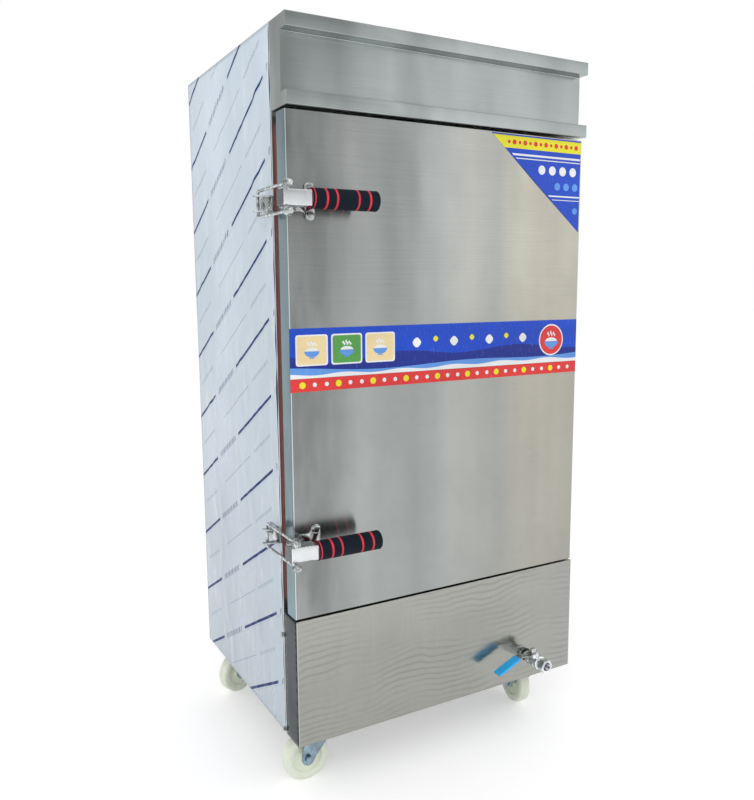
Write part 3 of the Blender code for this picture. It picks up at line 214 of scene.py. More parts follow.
def arc(centre: Numbers, radius: float, start: float, end: float, steps: int) -> Points:
    """Points of a plane arc: centre + radius * (cos a, sin a) with a from start to end in degrees."""
    a = np.radians(np.linspace(start, end, steps + 1))
    return np.stack([centre[0] + radius * np.cos(a), centre[1] + radius * np.sin(a)], axis=1)


def circle(radius: float, sides: int = 16) -> Points:
    """Points of a circle about the origin."""
    a = np.linspace(0, 2 * np.pi, sides, endpoint=False)
    return radius * np.stack([np.cos(a), np.sin(a)], axis=1)


def rounded_outline(points: Rows, radius: float, steps: int = 4) -> Points:
    """Closed plane outline with its corners rounded.

    Each corner is replaced by a quadratic curve (1-t)^2 a + 2t(1-t) p + t^2 b, where a and b lie
    a radius away from the corner p along its two sides, or nearly half a side where that is less.

    Args:
        points: Corners in order.
        radius: How far from each corner the rounding starts.
        steps: Steps of each rounding.

    Returns:
        The points of the rounded outline.
    """
    near_half = 0.49
    p = np.asarray(points, float)
    before, after = np.roll(p, 1, axis=0) - p, np.roll(p, -1, axis=0) - p
    back, ahead = (np.linalg.norm(side, axis=1, keepdims=True) for side in (before, after))
    reach = np.minimum(radius, near_half * np.minimum(back, ahead))
    a, b = p + before / back * reach, p + after / ahead * reach
    t = np.linspace(0, 1, steps + 1)[None, :, None]
    curve = (1 - t) ** 2 * a[:, None] + 2 * t * (1 - t) * p[:, None] + t**2 * b[:, None]
    return curve.reshape(-1, 2)


def rounded_line(points: Rows, radius: float, steps: int = 4) -> Points:
    """Open bent line with rounded inner corners: the closed rounding with its two ends put back."""
    curve = rounded_outline(points, radius, steps)[steps + 1:-(steps + 1)]
    return np.concatenate([[points[0]], curve, [points[-1]]])


def rectangle(left: float, low: float, right: float, high: float, radius: float, steps: int = 4) -> Points:
    """Rounded rectangle outline."""
    return rounded_outline([(left, low), (right, low), (right, high), (left, high)], radius, steps)


def axes_for(along: Numbers) -> Points:
    """Three unit vectors with the third along a direction, as the rows of a matrix."""
    w = np.asarray(along, float) / np.linalg.norm(along)
    helper = np.array([0.0, 0.0, 1.0]) if abs(w[2]) < 0.9 else np.array([1.0, 0.0, 0.0])
    u = np.cross(helper, w)
    u /= np.linalg.norm(u)
    return np.stack([u, np.cross(w, u), w])


def revolved(profile: Points, centre: Numbers, along: Numbers, sides: int) -> Points:
    """Turn each profile row (r, h) to the ring centre + r (cos a u + sin a v) + h w.

    Args:
        profile: Rows of radius and height.
        centre: Point where the height is zero.
        along: Direction of the axis.
        sides: Facets around the axis.

    Returns:
        One ring of points a row.
    """
    u, v, w = axes_for(along)
    around = circle(1.0, sides)
    ring = around[:, :1] * u + around[:, 1:] * v
    return profile[:, 0, None, None] * ring + profile[:, 1, None, None] * w + np.asarray(centre, float)


def turned(name: str, profile: Rows, centre: Numbers, along: Numbers, sides: int = 32) -> Piece:
    """Surface of revolution: revolved() with each end closed, or brought to a point on the axis.

    Args:
        name: Name of the piece.
        profile: Rows of radius and height, from one end to the other.
        centre: Point where the height is zero.
        along: Direction of the axis.
        sides: Facets around the axis.

    Returns:
        The turned object, without the faces of no area that a profile on its axis leaves.
    """
    profile = np.asarray(profile, float)
    faces = grid_faces(len(profile), sides, wrap_columns=True).tolist()
    for row in (0, len(profile) - 1):
        if profile[row, 0] > TOUCHING:
            faces.append([row * sides + i for i in range(sides)])
    piece = make_mesh(name, revolved(profile, centre, along, sides), faces)
    bm = bmesh.new()
    bm.from_mesh(piece.data)
    bmesh.ops.dissolve_degenerate(bm, dist=1e-7, edges=bm.edges)
    bmesh.ops.recalc_face_normals(bm, faces=bm.faces)
    bm.to_mesh(piece.data)
    bm.free()
    piece.data.shade_smooth()
    return piece


def ringed(name: str, profile: Rows, centre: Numbers, along: Numbers, sides: int = 32) -> Piece:
    """Closed section of (radius, height) points revolved() round an axis, such as a tube or a tyre.

    Args:
        name: Name of the piece.
        profile: Closed loop of radius and height.
        centre: Point where the height is zero.
        along: Direction of the axis.
        sides: Facets around the axis.

    Returns:
        The ring, with no ends.
    """
    profile = np.asarray(profile, float)
    points = revolved(profile, centre, along, sides)
    return make_mesh(name, points, grid_faces(len(profile), sides, True, True))


def swept(name: str, path: Rows, section: Rows, up: Numbers, closed: bool = False) -> Piece:
    """Section carried along a path: path[i] + s_x n_i + s_y b_i.

    The tangent t_i is the central difference of the path. The normal n_i is up less its part along
    the tangent, and b_i = t_i x n_i.

    Args:
        name: Name of the piece.
        path: Points of the path.
        section: Closed outline in the plane across the path.
        up: Direction that the section's first axis keeps to.
        closed: Join the path's end to its start.

    Returns:
        The swept object, with flat ends if it is open.
    """
    path, section, up = (np.asarray(rows, float) for rows in (path, section, up))
    ahead = np.roll(path, -1, axis=0) - path
    behind = path - np.roll(path, 1, axis=0)
    if not closed:
        ahead[-1], behind[0] = behind[-1], ahead[0]
    tangent = ahead / np.linalg.norm(ahead, axis=1, keepdims=True)
    tangent += behind / np.linalg.norm(behind, axis=1, keepdims=True)
    tangent /= np.linalg.norm(tangent, axis=1, keepdims=True)
    normal = up - tangent * (tangent @ up)[:, None]
    normal /= np.linalg.norm(normal, axis=1, keepdims=True)
    binormal = np.cross(tangent, normal)
    points = path[:, None] + section[None, :, :1] * normal[:, None] + section[None, :, 1:] * binormal[:, None]
    faces = grid_faces(len(path), len(section), closed, True).tolist()
    if not closed:
        count = len(section)
        faces += [list(range(count)), [(len(path) - 1) * count + i for i in range(count)]]
    return crisp(make_mesh(name, points, faces))


def cut_plate(name: str, outline: Points, thickness: float, origin: Numbers, x_axis: Numbers,
              y_axis: Numbers, edge: float = 0.0004) -> Piece:
    """Flat outline given a thickness: origin + x X + y Y, and again + thickness (X x Y).

    Args:
        name: Name of the piece.
        outline: Closed outline.
        thickness: Thickness of the plate.
        origin: Where the outline's zero lies.
        x_axis: Direction of the outline's first axis.
        y_axis: Direction of the outline's second axis.
        edge: Rounding of the rims.

    Returns:
        The plate with softened rims.
    """
    x, y = np.asarray(x_axis, float), np.asarray(y_axis, float)
    flat = np.asarray(origin, float) + outline[:, :1] * x + outline[:, 1:] * y
    count = len(outline)
    points = np.concatenate([flat, flat + np.cross(x, y) * thickness])
    sides = [[i, (i + 1) % count, count + (i + 1) % count, count + i] for i in range(count)]
    piece = make_mesh(name, points, [list(range(count)), list(range(count, 2 * count)), *sides])
    return soften(crisp(piece), edge)


def sheet_box(name: str, low: Numbers, high: Numbers, cells: Numbers, warp: Warp, sheet: float = SHEET,
              bend: float = 0.0016, lip: float | None = None) -> Piece:
    """Folded sheet box with its back open.

    Each wall is a grid low + (u, v) spans of the box, cells fine. warp then moves all the points
    at once. The sheet's thickness goes inwards and the folds are rounded.

    Args:
        name: Name of the piece.
        low: Lowest corner.
        high: Highest corner.
        cells: Cells along x, y and z.
        warp: Function that moves the points.
        sheet: Thickness of the sheet.
        bend: Outer radius of the folds.
        lip: How deep the top and bottom walls are, if they are only lips.

    Returns:
        The box with live thickness and folds.
    """
    low, full = np.asarray(low, float), np.asarray(high, float)
    points, faces, count = [], [], 0
    for axis, side in ((0, 0), (0, 1), (1, 0), (2, 0), (2, 1)):
        high = full.copy()
        if axis == 2 and lip:
            high[1] = low[1] + lip
        a, b = [i for i in range(3) if i != axis]
        u, v = np.linspace(0, 1, cells[a] + 1), np.linspace(0, 1, cells[b] + 1)
        grid = np.empty((len(u), len(v), 3))
        grid[..., axis] = (low, high)[side][axis]
        grid[..., a] = (low[a] + (high[a] - low[a]) * u)[:, None]
        grid[..., b] = (low[b] + (high[b] - low[b]) * v)[None, :]
        quads = grid_faces(len(u), len(v)) + count
        faces += (quads if (axis == 1) == bool(side) else quads[:, ::-1]).tolist()
        points.append(grid.reshape(-1, 3))
        count += len(u) * len(v)
    piece = make_mesh(name, warp(np.concatenate(points)), faces, outward=False)
    thicken(piece, sheet)
    return soften(piece, bend, 3, 40)


def waves(seed: int, amplitude: float, lengths: Numbers, stretch: Numbers = (1.0, 1.0)) -> Height:
    """Smooth unevenness of a sheet: the mean of sines of random direction and phase.

    Args:
        seed: Seed of the directions and phases.
        amplitude: Greatest height.
        lengths: Wave lengths in metres.
        stretch: How many times longer the waves are along each of the two axes.

    Returns:
        A function of two coordinate arrays that gives the height.
    """
    rng = np.random.default_rng(seed)
    angle, phase = rng.uniform(0, np.pi, len(lengths)), rng.uniform(0, 2 * np.pi, len(lengths))

    def height(a: Points, b: Points) -> Points:
        """Height at each pair of coordinates."""
        total = np.zeros_like(a)
        for length, turn, start in zip(lengths, angle, phase):
            way = a / stretch[0] * np.cos(turn) + b / stretch[1] * np.sin(turn)
            total += np.sin(2 * np.pi * way / length + start)
        return amplitude * total / len(lengths)

    return height


def bore(piece: Piece, cutters: Sequence[Piece]) -> Piece:
    """Cut holes through a piece, thickness applied first.

    Args:
        piece: Piece to cut.
        cutters: Solids that are used up.

    Returns:
        The same object with one settled mesh.
    """
    for cutter in cutters:
        step = piece.modifiers.new("hole", "BOOLEAN")
        step.operation = "DIFFERENCE"
        step.solver = "EXACT"
        step.object = cutter
    view = bpy.context.evaluated_depsgraph_get()
    view.update()
    mesh = bpy.data.meshes.new_from_object(piece.evaluated_get(view))
    piece.modifiers.clear()
    piece.data = mesh
    for cutter in cutters:
        bpy.data.objects.remove(cutter, do_unlink=True)
    return crisp(piece, 30)


# Finishes


def shade(red: int, green: int, blue: int) -> Colour:
    """Colour on the usual 0-255 scale as the linear colour that a shader takes."""
    c = np.array([red, green, blue]) / 255.0
    linear = np.where(c <= 0.04045, c / 12.92, ((c + 0.055) / 1.055) ** 2.4)
    return (*linear.tolist(), 1.0)


class Nodes:
    """Nodes of a material's or a world's tree, with short calls for plain numbers."""

    def __init__(self, tree: bpy.types.NodeTree) -> None:
        """Work on one tree."""
        self.tree = tree

    def node(self, kind: str, **settings: object) -> bpy.types.Node:
        """Add a node and set its properties."""
        made = self.tree.nodes.new("ShaderNode" + kind)
        for key, value in settings.items():
            setattr(made, key, value)
        return made

    def feed(self, target: Socket, value: object) -> None:
        """Link a socket to an input, or set the input to a plain value."""
        if isinstance(value, bpy.types.NodeSocket):
            self.tree.links.new(value, target)
        else:
            target.default_value = value

    def math(self, operation: str, first: object, second: object = 0.0, clamp: bool = False) -> Socket:
        """Result of one Math node."""
        made = self.node("Math", operation=operation, use_clamp=clamp)
        self.feed(made.inputs[0], first)
        self.feed(made.inputs[1], second)
        return made.outputs[0]

    def times(self, first: object, *others: object) -> Socket:
        """Product of two or more values."""
        for other in others:
            first = self.math("MULTIPLY", first, other)
        return first


class Wiring(Nodes):
    """Nodes of one material, with short calls for those that the finishes share."""

    def __init__(self, name: str) -> None:
        """Start a material with its Principled shader."""
        self.material = bpy.data.materials.new(name)
        self.material.use_nodes = True
        super().__init__(self.material.node_tree)
        self.shader = next(n for n in self.tree.nodes if n.type == "BSDF_PRINCIPLED")
        self.coords = self.tree.nodes.new("ShaderNodeTexCoord").outputs["Object"]

    def span(self, value: Socket, low: float, high: float, start: float, end: float) -> Socket:
        """Map a value from low-high to start-end, clamped."""
        made = self.node("MapRange")
        self.set(made, Value=value, From_Min=low, From_Max=high, To_Min=start, To_Max=end)
        return made.outputs[0]

    def axis(self, index: int) -> Socket:
        """One of the cabinet's own coordinates, in metres."""
        split = self.node("SeparateXYZ")
        self.feed(split.inputs[0], self.coords)
        return self.math("SUBTRACT", split.outputs[index], float(PLACE[index]))

    def mapped(self, scale: Numbers) -> Socket:
        """Object coordinates stretched along the axes."""
        made = self.node("Mapping")
        self.set(made, Scale=scale, Vector=self.coords)
        return made.outputs[0]

    def noise(self, scale: Numbers, detail: float = 3.0, rough: float = 0.55) -> Socket:
        """Noise of given cells per metre along each axis."""
        made = self.node("TexNoise")
        self.set(made, Scale=1.0, Detail=detail, Roughness=rough, Vector=self.mapped(scale))
        return made.outputs["Fac"]

    def blend(self, factor: object, first: object, second: object) -> Socket:
        """Mix of two colours."""
        made = self.node("Mix", data_type="RGBA")
        self.feed(made.inputs["Factor"], factor)
        self.feed(made.inputs[6], first)
        self.feed(made.inputs[7], second)
        return made.outputs[2]

    def tinted(self, level: Socket | float, colour: Colour) -> Socket:
        """A colour times a level."""
        made = self.node("CombineColor")
        for index, part in enumerate(colour[:3]):
            self.feed(made.inputs[index], self.math("MULTIPLY", level, part, clamp=True))
        return made.outputs[0]

    def bump(self, height: Socket, distance: float, below: Socket | None = None) -> Socket:
        """Normal of a height in metres times distance, over another bump."""
        made = self.node("Bump")
        self.set(made, Strength=1.0, Distance=distance, Height=height)
        if below is not None:
            self.set(made, Normal=below)
        return made.outputs[0]

    def set(self, node: bpy.types.Node | None = None, **values: object) -> None:
        """Feed the sockets of the shader, or of another node, named with underscores for spaces."""
        for key, value in values.items():
            self.feed((node or self.shader).inputs[key.replace("_", " ")], value)


class Grain(Enum):
    """Direction of a brushed surface's fine lines."""

    ACROSS = (6.0, 6.0, 1400.0)
    UPRIGHT = (1400.0, 1400.0, 5.0)
    NONE = (500.0, 500.0, 500.0)


@dataclass(frozen=True)
class Steel:
    """Sheet or bar steel with grain, smudges and fine scratches. Its broad bands are partly uneven tone and
    partly painted reflections. Where set, it also has painted light: dark lines that paint the reflections of
    ripples, painted shade near the left edge, a painted reflection tint towards the right, and painted shade
    on the flank beyond a corner with a painted highlight on the corner.
    """

    name: str
    colour: Colour
    rough: float = 0.30
    grain: Grain = Grain.ACROSS
    # Cells per metre of the broad bands, then how deep they go: partly uneven tone, partly painted
    # reflections.
    bands: Numbers = (2.5, 2.5, 0.15)
    tone_and_reflection_depth: float = 0.16
    wavy: float = 0.0
    spread: float = 0.0
    turn: float = 0.0
    # Depth of the dark lines that paint the reflections of the sheet's ripples.
    ripple_reflections: float = 0.0
    # Where the corner lies; painted shade on the flank beyond it, and how strong the painted highlight on the
    # corner is.
    corner: float | None = None
    flank_shade: Colour = (0.2, 0.28, 0.32, 1.0)
    corner_highlight: float = 0.75
    # Depth of the painted shade near the left edge.
    left_shade: float = 0.0
    # Painted reflection tint: a second colour blended in towards the right, and more where the broad bands
    # run high.
    right_reflection_tint: Colour | None = None

    def make(self) -> bpy.types.Material:
        """Wire the finish.

        Colour = base x broad bands (partly uneven tone, partly painted reflections) x fine grain x smudges,
        times the painted ripple reflections and the painted left-edge shade where they are set. The painted
        reflection tint towards the right, the painted flank shade and the painted corner highlight are then
        blended in. Roughness rises on the smudges, and the grain and the sheet's slow waves make the bump.

        Returns:
            The new material.
        """
        w = Wiring(self.name)
        grain = w.noise(self.grain.value, 4.0, 0.6)
        # Broad bands of colour: partly uneven tone, partly painted reflections.
        tone_and_reflection_band = w.noise(self.bands, 2.0, 0.5)
        smudge = w.noise((9.0, 9.0, 7.0), 5.0, 0.62)
        level = w.times(w.span(tone_and_reflection_band, 0.3, 0.7, 1.0 - self.tone_and_reflection_depth, 1.0 + self.tone_and_reflection_depth),
                        w.span(grain, 0.25, 0.75, 0.93, 1.06), w.span(smudge, 0.35, 0.75, 1.02, 0.95))
        # Painted ripple reflections: dark wandering lines.
        if self.ripple_reflections:
            level = w.times(level, self.painted_ripples(w))
        # Painted shade: darker near the left edge.
        if self.left_shade:
            level = w.times(level, self.painted_left_shade(w))
        colour = w.tinted(level, self.colour)
        # Painted reflection tint towards the right.
        if self.right_reflection_tint:
            right = w.span(w.axis(0), -0.05, 0.25, 0.0, 0.7)
            side = w.math("ADD", right, w.span(tone_and_reflection_band, 0.4, 0.7, -0.2, 0.3), clamp=True)
            colour = w.blend(side, colour, w.tinted(level, self.right_reflection_tint))
        # Painted shade on the flank and a painted highlight on the corner.
        if self.corner is not None:
            colour = self.painted_corner_light(w, colour, level)
        rough = w.math("ADD", w.span(smudge, 0.4, 0.8, self.rough, self.rough + 0.10),
                       w.span(grain, 0.3, 0.7, -0.03, 0.03))
        normal = w.bump(grain, 0.000012)
        if self.wavy:
            slow = w.noise(tuple(6.0 if pace > 1.0 else 1.5 for pace in self.bands), 1.0)
            normal = w.bump(slow, self.wavy, normal)
        w.set(Base_Color=colour, Roughness=rough, Metallic=1.0, Normal=normal,
              Anisotropic=self.spread, Anisotropic_Rotation=self.turn)
        if self.spread:
            w.set(Tangent=w.node("Tangent", direction_type="RADIAL", axis="Z").outputs[0])
        return w.material

    def painted_ripples(self, w: Wiring) -> Socket:
        """Painted reflections of the sheet's ripples: fine dark lines that run across the sheet and wander,
        as deep as the depth that is set, and faint in places.
        """
        wave = w.node("TexWave", wave_type="BANDS", bands_direction="Z")
        w.set(wave, Scale=24.0, Distortion=20.0, Detail=3.0, Detail_Scale=0.17, Vector=w.coords)
        line = w.span(wave.outputs["Fac"], 0.0, 0.45, self.ripple_reflections, 0.0)
        places = w.span(w.noise((5.0, 5.0, 9.0)), 0.42, 0.62, 0.05, 1.0)
        return w.math("SUBTRACT", 1.0, w.times(line, places))

    def painted_left_shade(self, w: Wiring) -> Socket:
        """Painted shade near the left edge: dark upright wisps, as deep as the depth that is set, that fade
        out to the right.
        """
        near = w.span(w.axis(0), -0.34, -0.18, 1.0, 0.0)
        wisp = w.span(w.noise((17.0, 17.0, 3.4), 4.0, 0.55), 0.40, 0.66, 0.25, 1.0)
        return w.math("SUBTRACT", 1.0, w.times(near, wisp, self.left_shade))

    def painted_corner_light(self, w: Wiring, colour: Socket, level: Socket) -> Socket:
        """Paint shade on the left flank beyond the corner, and a painted highlight as a bright line on the
        corner itself.
        """
        x = w.axis(0)
        start, full = self.corner + 0.0005, self.corner + 0.0009
        fade, end = self.corner + 0.0018, self.corner + 0.0026
        line = w.times(w.span(x, start, full, 0.0, 1.0), w.span(x, fade, end, self.corner_highlight, 0.0))
        sides = w.blend(w.span(x, start, full, 1.0, 0.0), colour, w.tinted(level, self.flank_shade))
        return w.blend(line, sides, (0.92, 0.92, 0.92, 1.0))


@dataclass(frozen=True)
class Moulded:
    """Moulded plastic, rubber or vinyl: mottled colour, fine skin texture and worn, dusty spots."""

    name: str
    colour: Colour
    rough: float = 0.45
    mottle: float = 0.08
    cells: float = 900.0
    depth: float = 0.00003
    coat: float = 0.0
    through: float = 0.0
    dust: Colour = (0.5, 0.5, 0.5, 1.0)
    dusty: float = 0.05

    def make(self) -> bpy.types.Material:
        """Wire the finish: base colour x soft mottle, mixed with dust, with a pebbled bump."""
        w = Wiring(self.name)
        soft = w.noise((30.0, 30.0, 30.0), 4.0)
        fine = w.noise((self.cells,) * 3, 3.0)
        level = w.span(soft, 0.3, 0.7, 1.0 - self.mottle, 1.0 + self.mottle)
        mixed = w.blend(w.span(w.noise((55.0, 55.0, 55.0), 5.0, 0.7), 0.55, 0.8, 0.0, self.dusty),
                        w.tinted(level, self.colour), self.dust)
        w.set(Base_Color=mixed, Roughness=w.span(soft, 0.3, 0.7, self.rough - 0.05, self.rough + 0.07),
              Normal=w.bump(fine, self.depth), Coat_Weight=self.coat, Subsurface_Weight=self.through)
        if self.through:
            w.set(Subsurface_Radius=(0.004, 0.004, 0.003), Subsurface_Scale=1.0)
        return w.material


@dataclass(frozen=True)
class Foam:
    """Closed-cell foam sleeve: dark, with fine open pores and a powdery sheen."""

    name: str
    colour: Colour
    pores: float = 900.0

    def make(self) -> bpy.types.Material:
        """Wire the finish: pores are the low parts of a Voronoi cell pattern."""
        w = Wiring(self.name)
        cells = w.node("TexVoronoi")
        w.set(cells, Scale=self.pores, Vector=w.coords)
        pore = w.span(cells.outputs["Distance"], 0.0, 0.45, 0.0, 1.0)
        soft = w.noise((60.0, 60.0, 60.0), 4.0)
        level = w.times(w.span(pore, 0.0, 1.0, 0.65, 1.1), w.span(soft, 0.3, 0.7, 0.85, 1.2))
        w.set(Base_Color=w.tinted(level, self.colour), Roughness=0.62, Specular_IOR_Level=0.12,
              Normal=w.bump(pore, 0.00008), Sheen_Weight=0.02, Sheen_Roughness=0.5)
        return w.material


@dataclass(frozen=True)
class FilmPrint:
    """Printed protective film: milky, wrinkled, with slanting dashes and rows of short bars.

    With t = z + slope y, the printed lines are where (t - first) / pitch is whole. Along y each
    line repeats every period: a dash, then a row of short bars. A hairline runs under each line.
    """

    name: str
    milky: Colour
    ink: Colour
    slope: float = 0.543
    first: float = 0.3835
    pitch: float = 0.1484
    period: float = 0.348
    dash: Numbers = (0.037, 0.235)
    dash_clear: float = 0.020
    dash_half: float = 0.0034
    bar_half: float = 0.0062
    small_bars: Numbers = (0.05, 0.14)
    small_half: float = 0.0040
    faint_dash: Numbers = (0.163, 0.335)
    faint_half: float = 0.0012
    hair_offset: float = -0.0075
    hair_half: float = 0.0005
    pale_ink: Colour = (0.16, 0.25, 0.38, 1.0)
    # Pale colour of the painted highlights on the creases.
    crease_highlight: Colour = (0.93, 0.95, 0.97, 1.0)

    def line_mask(self, w: Wiring, offset: float, half: float) -> Socket:
        """1 within half of the printed lines moved by offset along t."""
        t = w.math("ADD", w.axis(2), w.times(w.axis(1), self.slope))
        k = w.math("DIVIDE", w.math("SUBTRACT", t, self.first + offset - 4 * self.pitch), self.pitch)
        away = w.math("ABSOLUTE", w.math("SUBTRACT", w.math("FRACT", w.math("ADD", k, 0.5)), 0.5))
        return w.span(w.times(away, self.pitch), half - 0.0002, half + 0.0003, 1.0, 0.0)

    def stretch(self, w: Wiring, start: float, end: float) -> Socket:
        """1 where y, taken modulo the period, lies between start and end."""
        y = w.times(w.math("FRACT", w.math("DIVIDE", w.axis(1), self.period)), self.period)
        return w.times(w.math("GREATER_THAN", y, start), w.math("LESS_THAN", y, end))

    def bars(self, w: Wiring, offset: float, count: int, half: float) -> Socket:
        """Row of short slanting bars, count in a period, along the printed lines moved by offset."""
        along = w.math("ADD", w.axis(1), w.times(w.axis(2), 0.25))
        bar = w.math("FRACT", w.math("DIVIDE", along, self.period / count))
        return w.times(self.line_mask(w, offset, half), w.math("LESS_THAN", bar, 0.5))

    def make(self) -> bpy.types.Material:
        """Wire the print over the milky film, with painted light that makes the film lighter towards the top,
        and painted highlights on its creases.

        Returns:
            The new material.
        """
        w = Wiring(self.name)
        between = self.pitch / 2
        dashes = w.times(self.line_mask(w, 0.0, self.dash_half), self.stretch(w, *self.dash))
        gap = w.math("SUBTRACT", 1.0, self.stretch(w, self.dash[0] - self.dash_clear,
                                                   self.dash[1] + self.dash_clear))
        motif = w.times(self.bars(w, 0.0, 36, self.bar_half), gap, 0.75)
        faint = w.times(self.line_mask(w, between, self.faint_half), self.stretch(w, *self.faint_dash))
        small = w.times(self.bars(w, between, 48, self.small_half), self.stretch(w, *self.small_bars))
        weak = w.times(w.math("MAXIMUM", faint, small), 0.7)
        hair = w.times(self.line_mask(w, self.hair_offset, self.hair_half), 0.45)
        worn = w.span(w.noise((60.0, 60.0, 60.0), 5.0, 0.7), 0.3, 0.55, 0.90, 1.0)
        cloud = w.noise((5.0, 5.0, 3.0), 5.0, 0.6)
        creases = w.noise((26.0, 26.0, 9.0), 5.0, 0.65)
        wrinkles = w.noise((140.0, 140.0, 60.0), 4.0)
        # Painted light: the film is lighter towards the top and darker towards the bottom.
        light = w.span(w.axis(2), BODY_BOTTOM, BODY_TOP, 0.80, 1.14)
        milky = w.blend(w.span(cloud, 0.35, 0.7, 0.0, 1.0), w.tinted(light, self.milky),
                        w.tinted(w.times(light, 0.86), self.milky))
        # Painted highlights: the creases' ridges are blended towards a pale colour.
        pale = w.blend(w.span(creases, 0.56, 0.74, 0.0, 0.4), milky, self.crease_highlight)
        lined = w.blend(w.math("MAXIMUM", weak, hair), pale, self.pale_ink)
        inked = w.times(w.math("MAXIMUM", dashes, motif), worn)
        w.set(Base_Color=w.blend(inked, lined, self.ink), Roughness=w.span(cloud, 0.3, 0.7, 0.22, 0.38),
              Specular_IOR_Level=w.span(inked, 0.0, 1.0, 0.5, 0.04), Coat_Roughness=0.12,
              Coat_Weight=w.span(inked, 0.0, 1.0, 0.25, 0.0),
              Normal=w.bump(creases, 0.0008, w.bump(wrinkles, 0.0001)))
        return w.material


@dataclass(frozen=True)
class Ink:
    """Glossy printed vinyl: an even colour with faint mottle, tiny scuffs and slow ripples."""

    name: str
    colour: Colour
    rough: float = 0.22

    def make(self) -> bpy.types.Material:
        """Wire the finish: colour x mottle, scuffs lighten it and roughen it."""
        w = Wiring(self.name)
        soft = w.noise((7.0, 7.0, 20.0), 4.0)
        scuff = w.noise((300.0, 300.0, 60.0), 4.0, 0.7)
        level = w.span(soft, 0.3, 0.7, 0.90, 1.10)
        mixed = w.blend(w.span(scuff, 0.62, 0.8, 0.0, 0.25), w.tinted(level, self.colour),
                        (0.8, 0.8, 0.85, 1.0))
        w.set(Base_Color=mixed, Roughness=w.span(scuff, 0.5, 0.8, self.rough, self.rough + 0.25),
              Specular_IOR_Level=0.25, Coat_Weight=0.12, Coat_Roughness=0.1, Normal=w.bump(soft, 0.0006))
        return w.material


